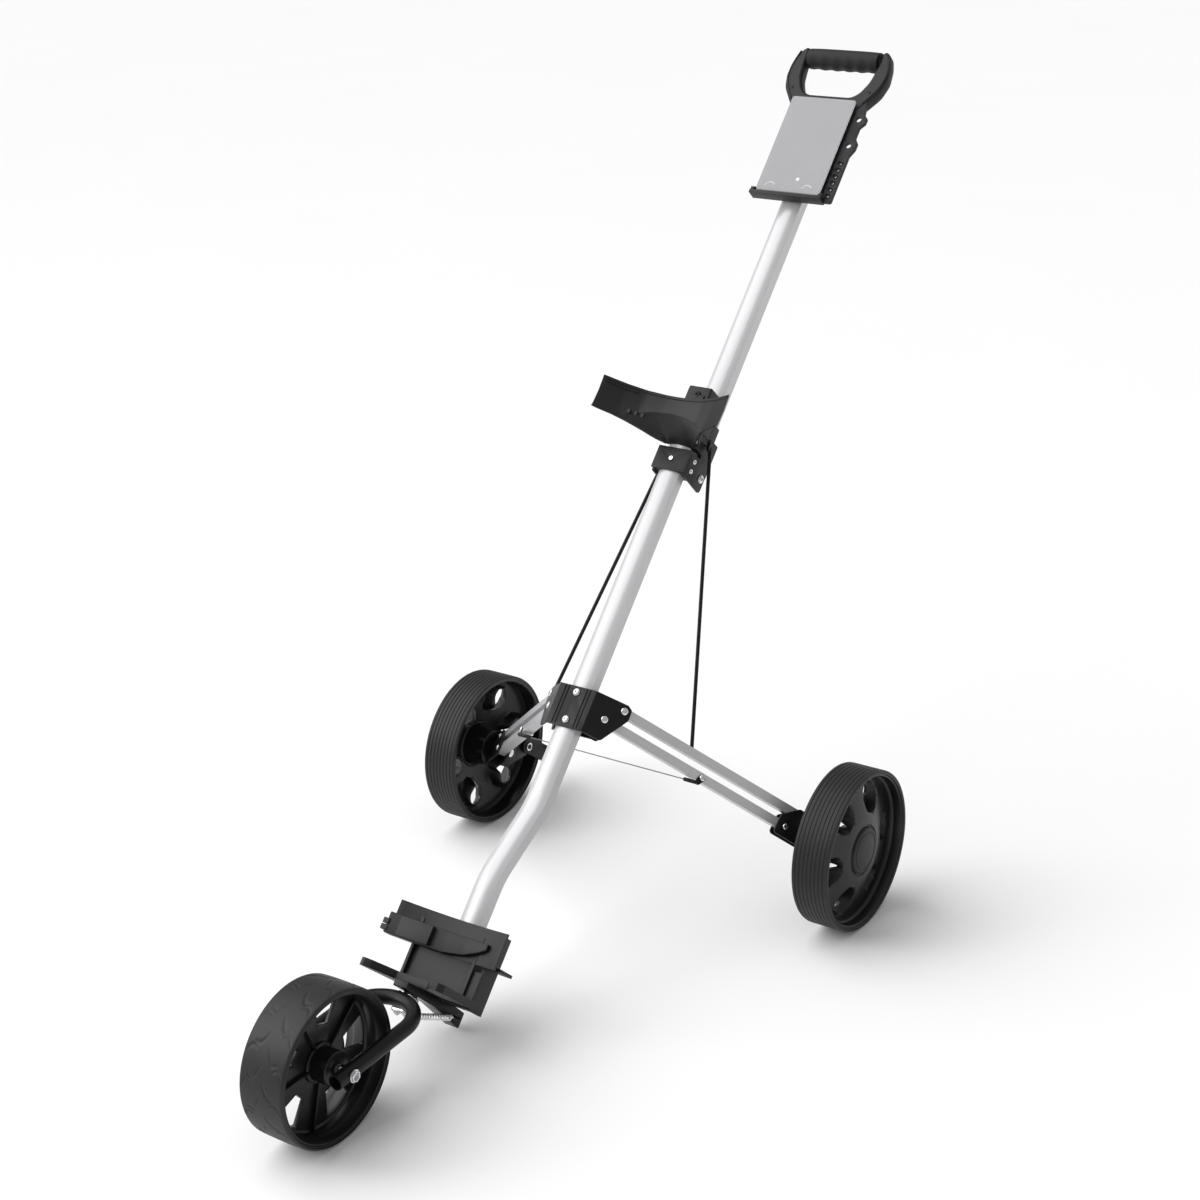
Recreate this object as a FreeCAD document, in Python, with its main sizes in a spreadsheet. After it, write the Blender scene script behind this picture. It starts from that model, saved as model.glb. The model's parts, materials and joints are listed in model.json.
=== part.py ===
import FreeCAD, Part
import math
import os
import re
import Sketcher

# Folding three-wheel golf push trolley, in millimetres.  +Z is up, -Y is forward, +X is the right-hand side.
# The origin is on the ground, under the middle of the unfolded trolley.
#
# Three local frames carry most of the parts:
#   tube frame  x across, b behind the lower tube's centre line, u up along it
#   leg frame   p outward along the swept wing of the leg plate, q up along the tube, r out of the wing's front face
#   wheel frame z outward along the axle, from the wheel's inner face
# Plates that stand upright, front to back, are drawn in (y, z) or (b, u) and turned by SIDE.

DIMENSIONS = {
    # lower tube
    "axle_behind": 123.37, "tube_point_y": 39.0, "tube_point_z": 527.0, "tube_lean": 45.0,
    "tube_wide": 31.0, "tube_deep": 25.0, "tube_flat": 15.0, "tube_wall": 1.6,
    "tube_top": 76.0, "joggle_top": 440.0, "joggle_low": 545.0, "joggle_step": 35.0, "joggle_bend": 110.0,
    "tube_foot": 668.0,
    # upper tube and fold joint
    "upper_behind": 31.5, "upper_start": 66.0, "upper_length": 538.0,
    "fold_up": 50.0, "fold_behind": 30.0, "fold_pin_radius": 4.0, "running_gap": 0.05,
    "collar_wide": 51.0, "collar_wall": 3.2, "collar_tall": 32.0, "collar_foot": 38.0,
    "yoke_plate": 6.0, "yoke_top": 106.0,
    "stay_pin_up": 92.0, "stay_pin_behind": 18.0,
    # leg plates and legs
    "plate_half": 28.0, "plate_thick": 2.5, "plate_top": 277.0, "plate_foot": 333.0, "wing_sweep": 46.9,
    "wing_reach": 53.0, "wing_corner": 5.0, "bar_wide": 12.0, "bar_wall": 1.5, "bar_gap": 0.6, "bar_tail": 9.0,
    "upper_pivot_p": 43.8, "upper_pivot_q": 286.1, "lower_pivot_p": 23.2, "lower_pivot_q": 306.6,
    "leg_length": 279.6, "leg_drop": 5.7, "leg_bolt_radius": 3.0, "head_radius": 5.2, "head_tall": 2.8,
    "stay_radius": 2.5, "stay_along": 110.0, "wire_radius": 0.9, "wire_along": 151.0,
    # rear wheels
    "rear_radius": 108.0, "rear_wide": 44.0, "rear_inner_x": 281.0, "tread_inset": 8.0, "tread_thick": 4.0,
    "barrel_thick": 4.5,
    "axle_radius": 6.0, "bush_radius": 9.0, "hub_radius": 26.0, "disc_thick": 5.0, "window_radius": 13.0,
    "window_circle": 68.0, "windows": 6.0, "cap_radius": 25.0, "cap_thick": 4.0, "boss_radius": 14.0,
    # front wheel and fork
    "front_radius": 96.0, "front_wide": 66.0, "front_ahead": 713.0, "front_hub_radius": 21.0,
    "front_window_circle": 55.0, "front_windows": 5.0, "fork_half": 46.0, "fork_tube_radius": 9.5,
    "fork_tube_wall": 1.6, "fork_nose": 22.0, "fork_bend_behind": 102.0, "front_axle_radius": 5.0,
    "fork_pin_ahead": 103.0, "fork_pin_down": 733.0, "fork_pin_radius": 4.0,
    # bag supports
    "cradle_half": 98.0, "cradle_arc": 148.0, "cradle_front": 58.0, "cradle_skin": 4.0,
    "cradle_top": 124.0, "cradle_foot": 75.0,
    "foot_half": 82.0, "foot_front": 67.0, "foot_skin": 4.0, "foot_top": 613.0, "foot_low": 659.0,
    # handle
    "grip_up": 699.0, "grip_behind": 16.0, "grip_half": 55.0, "grip_radius": 15.0,
    "core_radius": 8.0, "card_wide": 100.0, "card_tall": 152.0, "card_low": 476.0, "card_thick": 2.4,
    "holder_thick": 5.0, "tee_radius": 2.6, "tee_pitch": 10.4,
    # brake
    "brake_plate": 3.0, "brake_turn_y": 60.0, "brake_turn_z": 88.0, "brake_pin_radius": 3.5, "shoe_radius": 5.0,
    "shoe_behind": 105.5, "shoe_down": 53.5,
}

doc = FreeCAD.newDocument("golf_trolley")
sheet = doc.addObject("Spreadsheet::Sheet", "Sizes")
for row, (alias, value) in enumerate(DIMENSIONS.items(), start=1):
    sheet.set(f"A{row}", alias)
    sheet.set(f"B{row}", str(value))
    sheet.setAlias(f"B{row}", alias)
doc.recompute()

SUBPARTS = []
X_AXIS = FreeCAD.Vector(1, 0, 0)
Y_AXIS = FreeCAD.Vector(0, 1, 0)
Z_AXIS = FreeCAD.Vector(0, 0, 1)
BOX_SIDES = ("Length", "Width", "Height")


def linked(expression):
    """An expression with each alias in it written as a cell of the sheet."""
    return re.sub(r"[a-z_]+", lambda word: f"Sizes.{word[0]}" if word[0] in DIMENSIONS else word[0],
                  str(expression))


def number(expression):
    """The value that an expression of aliases has now."""
    return float(doc.getObject("Sizes").evalExpression(linked(expression)))


def vector(*expressions):
    return FreeCAD.Vector(*[number(expression) for expression in expressions])


def turned(axis, degrees, base=FreeCAD.Vector()):
    return FreeCAD.Placement(base, FreeCAD.Rotation(axis, degrees))


def moved(*expressions):
    return FreeCAD.Placement(vector(*expressions), FreeCAD.Rotation())


def keep(label, thing):
    """Register a document object as a finished sub-part under its own label."""
    thing.Label = label
    SUBPARTS.append(thing)
    return thing


def block(low, high, frame):
    """A box between two corners of a local frame, its sides bound to the sheet."""
    box = doc.addObject("Part::Box", "Block")
    for side, start, end in zip(BOX_SIDES, low, high):
        box.setExpression(side, linked(f"({end}) - ({start})"))
    box.Placement = frame * moved(*low)
    return box


def round_bar(radius, start, end, frame):
    """A cylinder from one point of a local frame to another."""
    bar = doc.addObject("Part::Cylinder", "Round")
    bar.setExpression("Radius", linked(radius))
    first, last = vector(*start), vector(*end)
    bar.Height = (last - first).Length
    bar.Placement = frame * FreeCAD.Placement(first, FreeCAD.Rotation(Z_AXIS, last - first))
    return bar


def fused(*things):
    joined = doc.addObject("Part::MultiFuse", "Joined")
    joined.Shapes = list(things)
    joined.Refine = True
    return joined


def grouped(*things):
    """Separate solids that share one sub-part, such as a set of like fasteners."""
    group = doc.addObject("Part::Compound", "Group")
    group.Links = list(things)
    return group


def cut(base, *tools):
    carved = doc.addObject("Part::Cut", "Carved")
    carved.Base = base
    carved.Tool = tools[0] if len(tools) == 1 else fused(*tools)
    return carved


def mirrored(label, thing):
    """The left-hand twin of a right-hand sub-part."""
    twin = doc.addObject("Part::Mirroring", "Twin")
    twin.Source = thing
    twin.Normal = X_AXIS
    return keep(label, twin)


def origin_plane(body, role):
    return next(plane for plane in body.Origin.OriginFeatures if plane.Role == role)


def new_sketch(body, role="XY_Plane"):
    sketch = body.newObject("Sketcher::SketchObject", "Outline")
    sketch.AttachmentSupport = (origin_plane(body, role), "")
    sketch.MapMode = "FlatFace"
    return sketch


def bind_constraint(sketch, kind, places, expression):
    index = sketch.addConstraint(Sketcher.Constraint(kind, *places, number(expression)))
    sketch.setExpression(f"Constraints[{index}]", linked(expression))


def polygon(sketch, corners):
    """A closed outline whose corners are expressions of the sheet."""
    points = [vector(x, y, 0) for x, y in corners]
    edges = [Part.LineSegment(point, points[(i + 1) % len(points)]) for i, point in enumerate(points)]
    first = sketch.addGeometry(edges, False)[0]
    for i in range(len(points)):
        following = first + (i + 1) % len(points)
        sketch.addConstraint(Sketcher.Constraint("Coincident", first + i, 2, following, 1))
    for i, (x, y) in enumerate(corners):
        bind_constraint(sketch, "DistanceX", (-1, 1, first + i, 1), x)
        bind_constraint(sketch, "DistanceY", (-1, 1, first + i, 1), y)


def padded(corners, length, frame, rounding=None, beyond=-1000.0):
    """A body padded from one closed outline, its upright edges past one x rounded where asked."""
    body = doc.addObject("PartDesign::Body", "Padded")
    sketch = new_sketch(body)
    polygon(sketch, corners)
    pad = body.newObject("PartDesign::Pad", "Pad")
    pad.Profile = sketch
    pad.setExpression("Length", linked(length))
    doc.recompute()
    if rounding:
        fillet = body.newObject("PartDesign::Fillet", "Rounded")
        upright = [f"Edge{i}" for i, edge in enumerate(pad.Shape.Edges, start=1)
                   if abs(edge.tangentAt(edge.FirstParameter).z) > 0.99 and edge.CenterOfMass.x > beyond]
        fillet.Base = (pad, upright)
        fillet.setExpression("Radius", linked(rounding))
    body.Placement = frame
    return body


def revolved(corners, frame, steps=()):
    """A body turned about its own Z from an outline in (radius, z)."""
    body = doc.addObject("PartDesign::Body", "Turned")
    sketch = new_sketch(body, "XZ_Plane")
    polygon(sketch, corners)
    turn = body.newObject("PartDesign::Revolution", "Revolution")
    turn.Profile = sketch
    turn.ReferenceAxis = (sketch, ["V_Axis"])
    turn.Angle = 360
    doc.recompute()
    for step in steps:
        step(body)
    body.Placement = frame
    return body


def windows(radius, circle, count, turn=0.0):
    """A step that pierces a turned body with a ring of round windows."""
    def pierce(body):
        sketch = new_sketch(body)
        middle = vector(f"({circle}) * cos({turn} deg)", f"({circle}) * sin({turn} deg)", 0)
        hole = sketch.addGeometry(Part.Circle(middle, Z_AXIS, number(radius)), False)
        bind_constraint(sketch, "Radius", (hole,), radius)
        bind_constraint(sketch, "DistanceX", (-1, 1, hole, 3), f"({circle}) * cos({turn} deg)")
        bind_constraint(sketch, "DistanceY", (-1, 1, hole, 3), f"({circle}) * sin({turn} deg)")
        pocket = body.newObject("PartDesign::Pocket", "Window")
        pocket.Profile = sketch
        pocket.Type = "ThroughAll"
        pocket.Midplane = True
        pattern = body.newObject("PartDesign::PolarPattern", "Windows")
        pattern.Originals = [pocket]
        pattern.Axis = (sketch, ["N_Axis"])
        pattern.Angle = 360
        pattern.setExpression("Occurrences", linked(count))
        body.Tip = pattern
        doc.recompute()
    return pierce


AXLE = moved(0, "axle_behind", 0)
TUBE = moved(0, "axle_behind + tube_point_y", "tube_point_z") * turned(X_AXIS, -number("tube_lean"))
UPPER = TUBE * moved(0, "upper_behind", 0)
SIDE = FreeCAD.Placement(FreeCAD.Vector(), FreeCAD.Rotation(Y_AXIS, Z_AXIS, X_AXIS, "ZXY"))
WING = (TUBE * moved("plate_half", "-tube_deep / 2 - plate_thick", 0)
        * turned(Z_AXIS, number("wing_sweep")) * turned(X_AXIS, 90))
WHEEL = AXLE * moved("rear_inner_x", 0, "rear_radius") * turned(Y_AXIS, 90)
FRONT = AXLE * moved("-front_wide / 2", "-front_ahead", "front_radius") * turned(Y_AXIS, 90)
FORK = AXLE * moved(0, "-front_ahead", "front_radius")
LEFT = AXLE * moved("-rear_inner_x", 0, "rear_radius")
PLATE_BOLTS = ("-plate_top - 8", "-plate_foot + 10")
YOKE_BOLTS = ((-4, 88), (32, 92))
REAR_WING = "-(2 * plate_thick + bar_wide + 2 * bar_gap)"


def tube_section(grow=0.0):
    """The extrusion's outline: two flat sides joined by broad bowed faces, as a wire in (x, b)."""
    half, flat, deep = number("tube_wide") / 2 + grow, number("tube_flat") / 2, number("tube_deep") / 2 + grow
    corners = [FreeCAD.Vector(x, b, 0) for x, b in ((half, -flat), (half, flat), (-half, flat), (-half, -flat))]
    rear, front = FreeCAD.Vector(0, deep, 0), FreeCAD.Vector(0, -deep, 0)
    return Part.Wire([Part.makeLine(corners[0], corners[1]), Part.Arc(corners[1], rear, corners[2]).toShape(),
                      Part.makeLine(corners[2], corners[3]), Part.Arc(corners[3], front, corners[0]).toShape()])


def tube_solid(length, grow=0.0):
    return Part.Face(tube_section(grow)).extrude(FreeCAD.Vector(0, 0, length))


def feature(shape, frame):
    """A sub-part whose shape is worked out from the sheet's sizes here."""
    made = doc.addObject("Part::Feature", "Shaped")
    made.Shape = shape
    made.Placement = frame
    return made


def joggled_path():
    """The lower tube's centre line: straight, a short step forward, then straight again."""
    top, low, step = number("joggle_top"), number("joggle_low"), number("joggle_step")
    corners = [FreeCAD.Vector(0, 0, number("tube_top")), FreeCAD.Vector(0, 0, -top),
               FreeCAD.Vector(0, -step, -low), FreeCAD.Vector(0, -step, -number("tube_foot"))]
    edges, start = [], corners[0]
    for before, corner, after in zip(corners, corners[1:], corners[2:]):
        arriving, leaving = (corner - before).normalize(), (after - corner).normalize()
        half_turn = arriving.getAngle(leaving) / 2
        tangent = number("joggle_bend") * math.tan(half_turn)
        enter, leave = corner - arriving * tangent, corner + leaving * tangent
        inward = (leaving - arriving).normalize()
        centre = corner + inward * (number("joggle_bend") / math.cos(half_turn))
        middle = centre - inward * number("joggle_bend")
        edges += [Part.makeLine(start, enter), Part.Arc(enter, middle, leave).toShape()]
        start = leave
    return Part.Wire(edges + [Part.makeLine(start, corners[-1])])


def lower_tube():
    path = joggled_path()
    place = FreeCAD.Vector(0, 0, number("tube_top"))
    skins = []
    for grow in (0.0, -number("tube_wall")):
        outline = tube_section(grow)
        outline.translate(place)
        skins.append(path.makePipeShell([outline], True, False))
    plate_holes = [round_bar("leg_bolt_radius", (0, -25, u), (0, 25, u), TUBE) for u in PLATE_BOLTS]
    foot_hole = round_bar("leg_bolt_radius", (-40, "-joggle_step", -645), (40, "-joggle_step", -645), TUBE)
    return keep("lower_tube", cut(feature(skins[0].cut(skins[1]), TUBE), *plate_holes, foot_hole))


def upper_tube():
    length, wall = number("upper_length"), number("tube_wall")
    shell = feature(tube_solid(length).cut(tube_solid(length, -wall)), UPPER * moved(0, 0, "upper_start"))
    yoke_hole = round_bar("leg_bolt_radius", (-40, *YOKE_BOLTS[1]), (40, *YOKE_BOLTS[1]), TUBE)
    cradle_hole = round_bar("leg_bolt_radius", (0, -20, 150), (0, 60, 150), TUBE)
    return keep("upper_tube", cut(shell, yoke_hole, cradle_hole))


def tube_bore(frame, start, length):
    """A tool that clears one of the tubes out of a part that grips it."""
    return feature(tube_solid(number(length)), frame * moved(0, 0, start))


def bolt(frame, at, through, radius="leg_bolt_radius", head="head_radius", tall="head_tall"):
    """A domed bolt and its nut: a shank along the frame's Z with a head on each end."""
    x, y, z = at
    low, high = f"({z}) - ({through})", z
    return fused(round_bar(radius, (x, y, low), (x, y, high), frame),
                 round_bar(head, (x, y, high), (x, y, f"({high}) + {tall}"), frame),
                 round_bar(head, (x, y, f"({low}) - {tall}"), (x, y, low), frame))


# ---- main frame: tubes' fixed side ---------------------------------------------------------------------------

lower_tube()
plug_face = Part.Face(tube_section(-number("tube_wall")))
plug = plug_face.extrude(FreeCAD.Vector(0, 0, -14)).fuse(tube_solid(2, -0.4))
keep("lower_tube_plug", feature(plug, TUBE * moved(0, 0, "tube_top")))


def wing(depth, start):
    """One wing of a leg plate, lying in the leg frame with its back face at the given r."""
    outline = ((start, "-plate_foot"), (28, "-plate_foot - 1"), ("wing_reach", -296), ("wing_reach", -281),
               (46, "-plate_top"), (start, "-plate_top"))
    return padded(outline, "plate_thick", WING * moved(0, 0, depth), "wing_corner", 27.0)


def reflection(thing):
    twin = doc.addObject("Part::Mirroring", "Reflection")
    twin.Source = thing
    twin.Normal = X_AXIS
    return twin


def leg_plate(label, face, half, depth, start):
    """One bent steel plate: a flat across the tube and two swept wings that carry the leg pivots."""
    flat = block((f"-({half})", face, "-plate_foot"), (half, f"{face} + plate_thick", "-plate_top"), TUBE)
    right = wing(depth, start)
    holes = [round_bar("leg_bolt_radius", (p, f"-{q}", -40), (p, f"-{q}", 20), WING)
             for p, q in (("upper_pivot_p", "upper_pivot_q"), ("lower_pivot_p", "lower_pivot_q"))]
    holes += [round_bar("head_radius + 0.3", (p, f"-{q}", -40), (p, f"-{q}", REAR_WING), WING)
              for p, q in (("upper_pivot_p", "upper_pivot_q"), ("lower_pivot_p", "lower_pivot_q"))]
    across = [round_bar("leg_bolt_radius", (0, -25, u), (0, 25, u), TUBE) for u in PLATE_BOLTS]
    return keep(label, cut(fused(flat, right, reflection(right)), *holes, *map(reflection, holes), *across))


leg_plate("front_leg_plate", "-tube_deep / 2 - plate_thick", "plate_half", "-plate_thick", 0)
leg_plate("rear_leg_plate", "tube_deep / 2", "plate_half + 4", REAR_WING, 18)
keep("plate_bolts", grouped(*[
    bolt(TUBE * turned(X_AXIS, 90), (0, u, "tube_deep / 2 + plate_thick"), "tube_deep + 2 * plate_thick")
    for u in PLATE_BOLTS]))
pivots = keep("right_leg_pivots", grouped(*[
    bolt(WING, (p, f"-{q}", 0), f"-{REAR_WING}")
    for p, q in (("upper_pivot_p", "upper_pivot_q"), ("lower_pivot_p", "lower_pivot_q"))]))
mirrored("left_leg_pivots", pivots)


def fold_collar():
    """The clamp at the lower tube's top, with two cheeks behind it for the fold pin."""
    body = block(("-collar_wide / 2 + 0.4", "-tube_deep / 2 - collar_wall", "collar_foot"),
                 ("collar_wide / 2 - 0.4", "tube_deep / 2 + 2.4", "collar_foot + collar_tall"), TUBE)
    cheeks = [padded(((-10, 35), (38, 33), (40, 38), (40, 60), (34, 68), (-10, 68)), "collar_wall",
                     TUBE * moved(x, 0, 0) * SIDE, 2)
              for x in ("collar_wide / 2 - collar_wall", "-collar_wide / 2")]
    pin_hole = round_bar("fold_pin_radius", (-40, "fold_behind", "fold_up"), (40, "fold_behind", "fold_up"), TUBE)
    rivet_hole = round_bar(2, (0, -25, 54), (0, -10, 54), TUBE)
    return keep("fold_collar", cut(fused(body, *cheeks), tube_bore(TUBE, 0, 90), pin_hole, rivet_hole))


fold_collar()
keep("fold_pin", fused(
    round_bar("fold_pin_radius", ("-collar_wide / 2", "fold_behind", "fold_up"),
              ("collar_wide / 2", "fold_behind", "fold_up"), TUBE),
    round_bar("fold_pin_radius + 2", ("collar_wide / 2", "fold_behind", "fold_up"),
              ("collar_wide / 2 + head_tall", "fold_behind", "fold_up"), TUBE),
    round_bar("fold_pin_radius + 2", ("-collar_wide / 2 - head_tall", "fold_behind", "fold_up"),
              ("-collar_wide / 2", "fold_behind", "fold_up"), TUBE)))
keep("collar_screws", grouped(
    round_bar(2, (0, "-tube_deep / 2 - collar_wall - 1.5", 54), (0, "-tube_deep / 2", 54), TUBE),
    *[round_bar(3.4, (f"{side} * collar_wide / 2", 0, u), (f"{side} * (collar_wide / 2 + 2)", 0, u), TUBE)
      for side in (1, -1) for u in (46.6, 60.4)]))


def foot_bracket():
    """The moulded lower bag support: saddle, socket for the tube's end, front panel and base shelf."""
    saddle = arc_band("foot_half", "foot_front", 265, "foot_skin", "-foot_low", "-foot_top")
    ledge = block(("-foot_half", -87, -657), (-18, -72, -633), TUBE)
    socket = block((-21, -64, -700), (21, -17, -613), TUBE)
    ribs = [block((x, -72, -700), (x + 4, -30, -625), TUBE) for x in (-49, 45)]
    panel = block((-49, -66, -706), (49, -52, -655), TUBE)
    wall = block((58, -66, -713), (62, -36, -614), TUBE)
    fin = block((58, -56, -657), (76, -26, -653), TUBE)
    shelf = padded(((-49, -30), (-49, -62), (-64, -136), (-56, -142), (-46, -138), (-24, -112), (24, -112),
                    (46, -138), (56, -142), (64, -136), (62, -36), (40, -17), (-40, -17)), 10,
                   TUBE * moved(0, 0, -710), 3)
    tube_hole = block(("-tube_wide / 2", "-joggle_step - tube_deep / 2", "-tube_foot"),
                      ("tube_wide / 2", "-joggle_step + tube_deep / 2", -560), TUBE)
    bolt_hole = round_bar("leg_bolt_radius", (-40, "-joggle_step", -645), (40, "-joggle_step", -645), TUBE)
    return keep("lower_bag_bracket", cut(fused(saddle, ledge, socket, *ribs, panel, wall, fin, shelf),
                                         tube_hole, bolt_hole))


def arc_band(half, front, arc, skin, low, high):
    """A saddle wall: a shallow arc in (x, b), hollow towards the bag, raised along u."""
    half, front, skin = number(half), number(front), number(skin)
    rise = arc - math.sqrt(arc ** 2 - half ** 2)
    inner = Part.Arc(FreeCAD.Vector(-half, -front - rise, 0), FreeCAD.Vector(0, -front, 0),
                     FreeCAD.Vector(half, -front - rise, 0)).toShape()
    outer = Part.Arc(FreeCAD.Vector(-half, skin - front - rise, 0), FreeCAD.Vector(0, skin - front, 0),
                     FreeCAD.Vector(half, skin - front - rise, 0)).toShape()
    ends = [Part.makeLine(inner.Vertexes[k].Point, outer.Vertexes[k].Point) for k in (0, 1)]
    face = Part.Face(Part.Wire(Part.sortEdges([inner, outer, *ends])[0]))
    band = face.extrude(FreeCAD.Vector(0, 0, number(high) - number(low)))
    return feature(band, TUBE * moved(0, 0, low))


foot_bracket()
keep("bracket_bolt", bolt(TUBE * turned(Y_AXIS, 90), (645, "-joggle_step", 21), 42))


def fork_mount():
    """The steel tongue under the bracket, with an ear that carries the fork pin."""
    web = padded(((-131, -710), (-131, -719), (-60, -722), (7, -732), (7, -712), (-14, -710)), 20,
                 TUBE * moved(-10, 0, 0) * SIDE, 1.5)
    ear = block((-5.5, "-fork_pin_ahead - 8", "-fork_pin_down"), (5.5, "-fork_pin_ahead + 8", -715), TUBE)
    tip = round_bar(8, (-5.5, "-fork_pin_ahead", "-fork_pin_down"), (5.5, "-fork_pin_ahead", "-fork_pin_down"),
                    TUBE)
    hole = round_bar("fork_pin_radius + running_gap", (-12, "-fork_pin_ahead", "-fork_pin_down"),
                     (12, "-fork_pin_ahead", "-fork_pin_down"), TUBE)
    hook = round_bar(2, (10, -17, -722), (24, -17, -722), TUBE)
    return keep("fork_mount", cut(fused(web, ear, tip, hook), hole))


fork_mount()

# ---- upper tube, bag cradle and handle, which fold back together ----------------------------------------------

upper_tube()


def hinge_yoke():
    """Two cheeks joined behind the upper tube, turning on the fold pin."""
    cheeks = [padded(((17, 44), (24, 38), (36, 38), (44, 46), (47, 60), (47, "yoke_top"), (26, "yoke_top"),
                      (21, 97), (-8, 97), (-11, 81), (17, 78)), "yoke_plate", TUBE * moved(x, 0, 0) * SIDE, 2)
              for x in ("tube_wide / 2", "-tube_wide / 2 - yoke_plate")]
    web = block(("-tube_wide / 2 - 1", "upper_behind + tube_deep / 2", 66),
                ("tube_wide / 2 + 1", 47, "yoke_top"), TUBE)
    pin_hole = round_bar("fold_pin_radius + running_gap", (-40, "fold_behind", "fold_up"),
                         (40, "fold_behind", "fold_up"), TUBE)
    holes = [round_bar("leg_bolt_radius", (-40, b, u), (40, b, u), TUBE) for b, u in YOKE_BOLTS]
    return keep("hinge_yoke", cut(fused(*cheeks, web), pin_hole, *holes))


hinge_yoke()
keep("yoke_bolts", grouped(*[
    bolt(TUBE * turned(Y_AXIS, 90), (-u, b, "tube_wide / 2 + yoke_plate"), "tube_wide + 2 * yoke_plate",
         head=3.4, tall=1.4) for b, u in YOKE_BOLTS]))


def bag_cradle():
    """The moulded upper bag support: a wide saddle, a funnel back to the tube and a strap block."""
    saddle = arc_band("cradle_half", "cradle_front", number("cradle_arc"), "cradle_skin", "cradle_foot",
                      "cradle_top")
    below = padded((("-cradle_half + 12", 70), ("cradle_half - 12", 70), (38, 101), (-38, 101)), 120,
                   TUBE * turned(X_AXIS, 90))
    funnel = funnel_solid()
    tongue = block((-15, -12, 79), (15, 19, 99), TUBE)
    strap_block = block((-18, -14, 112), (18, 19, 163), TUBE)
    collar = block(("-tube_wide / 2 - 4", 15, 108), ("tube_wide / 2 + 4", "upper_behind + 8", 128), TUBE)
    body = fused(cut(saddle, below), funnel, tongue, strap_block, collar)
    bolt_hole = round_bar("leg_bolt_radius", (0, -20, 150), (0, 50, 150), TUBE)
    yoke_hole = round_bar("leg_bolt_radius", (-40, *YOKE_BOLTS[0]), (40, *YOKE_BOLTS[0]), TUBE)
    return keep("upper_bag_cradle", cut(body, tube_bore(UPPER, 60, 200), bolt_hole, yoke_hole))


def funnel_solid():
    """The loft between the tube's front and the back of the saddle."""
    def frame_wire(half, front, back, u):
        corners = [FreeCAD.Vector(x, b, u) for x, b in ((-half, front), (half, front), (half, back), (-half, back))]
        return Part.makePolygon(corners + corners[:1])
    return feature(Part.makeLoft([frame_wire(20, -14, 19, 97.5), frame_wire(58, -57, 19, 116)], True, True), TUBE)


bag_cradle()
keep("cradle_bolt", bolt(TUBE * turned(X_AXIS, 90), (0, 150, 14), "14 + upper_behind + tube_deep / 2",
                         tall=1.6))


def handle_frame():
    """The moulded D-shaped handle with its neck on the tube's end."""
    loop = padded(((-40, 604), (40, 604), (54, 628), (76, 652), (78, 672), (66, 708), (58, 714), (-58, 714),
                   (-66, 708), (-78, 672), (-76, 652), (-54, 628)), 18,
                  TUBE * moved(0, 26, 0) * turned(X_AXIS, 90), 5)
    opening = padded(((-36, 636), (36, 636), (54, 658), (57, 684), (-57, 684), (-54, 658)), 60,
                     TUBE * moved(0, 50, 0) * turned(X_AXIS, 90), 9)
    top_gap = block(("-grip_half", -5, 684), ("grip_half", 50, 720), TUBE)
    core = round_bar("core_radius", ("-grip_half - 4", "grip_behind", "grip_up"),
                     ("grip_half + 4", "grip_behind", "grip_up"), TUBE)
    neck = block((-22, 14, 596), (22, 48, 634), TUBE)
    return keep("handle_frame", cut(fused(cut(loop, opening, top_gap), core, neck),
                                    tube_bore(UPPER, 560, 44), card_room()))


def card_room():
    return block((-70, -20, 590), (70, 14, 634), TUBE)


handle_frame()
grip = cut(round_bar("grip_radius", ("-grip_half", "grip_behind", "grip_up"),
                     ("grip_half", "grip_behind", "grip_up"), TUBE),
           round_bar("core_radius", ("-grip_half - 9", "grip_behind", "grip_up"),
                     ("grip_half + 9", "grip_behind", "grip_up"), TUBE))
keep("handle_grip", grip)


def card_holder():
    """The backing tray of the scorecard, with a lipped foot and a strip of tee holes."""
    back = padded(((-50, 470), (67, 470), (67, 545), (72, 556), (72, 566), (66, 574), (66, 590), (72, 598),
                   (72, 606), (66, 612), (62, 632), (-50, 632)), "holder_thick",
                  TUBE * moved(0, "9 + holder_thick", 0) * turned(X_AXIS, 90), 3)
    foot = block((-56, -2, 468), (56, 14, 473), TUBE)
    tee_holes = [round_bar("tee_radius", (59, -10, f"480 + {i} * tee_pitch"), (59, 30, f"480 + {i} * tee_pitch"),
                           TUBE) for i in range(6)]
    marker_holes = [round_bar(4.2, (60, -10, u), (60, 30, u), TUBE) for u in (561, 603)]
    saddle = block((-20, 14, 480), (20, 24, 592), TUBE)
    knuckles = [round_bar(3.5, (f"{side} * (card_wide / 2 + 0.5)", 2.8, 476),
                          (f"{side} * (card_wide / 2 + 6)", 2.8, 476), TUBE) for side in (1, -1)]
    return keep("scorecard_holder", cut(fused(back, foot, saddle, *knuckles), tube_bore(UPPER, 450, 200),
                                        *tee_holes, *marker_holes))


card_holder()
keep("scorecard_cover", padded((("-card_wide / 2", "card_low"), ("card_wide / 2", "card_low"),
                                ("card_wide / 2", "card_low + card_tall"),
                                ("-card_wide / 2", "card_low + card_tall")), "card_thick",
                               TUBE * moved(0, 4, 0) * turned(X_AXIS, 90), 4))

# ---- legs -----------------------------------------------------------------------------------------------------

LEG = WING * moved("lower_pivot_p", "-lower_pivot_q", 0) * turned(Z_AXIS, -number("leg_drop"))
UPPER_LEG = WING * moved("upper_pivot_p", "-upper_pivot_q", 0) * turned(Z_AXIS, -number("leg_drop"))
BAR_FRONT = "-plate_thick - bar_gap"
BAR_BACK = f"{BAR_FRONT} - bar_wide"


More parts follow.
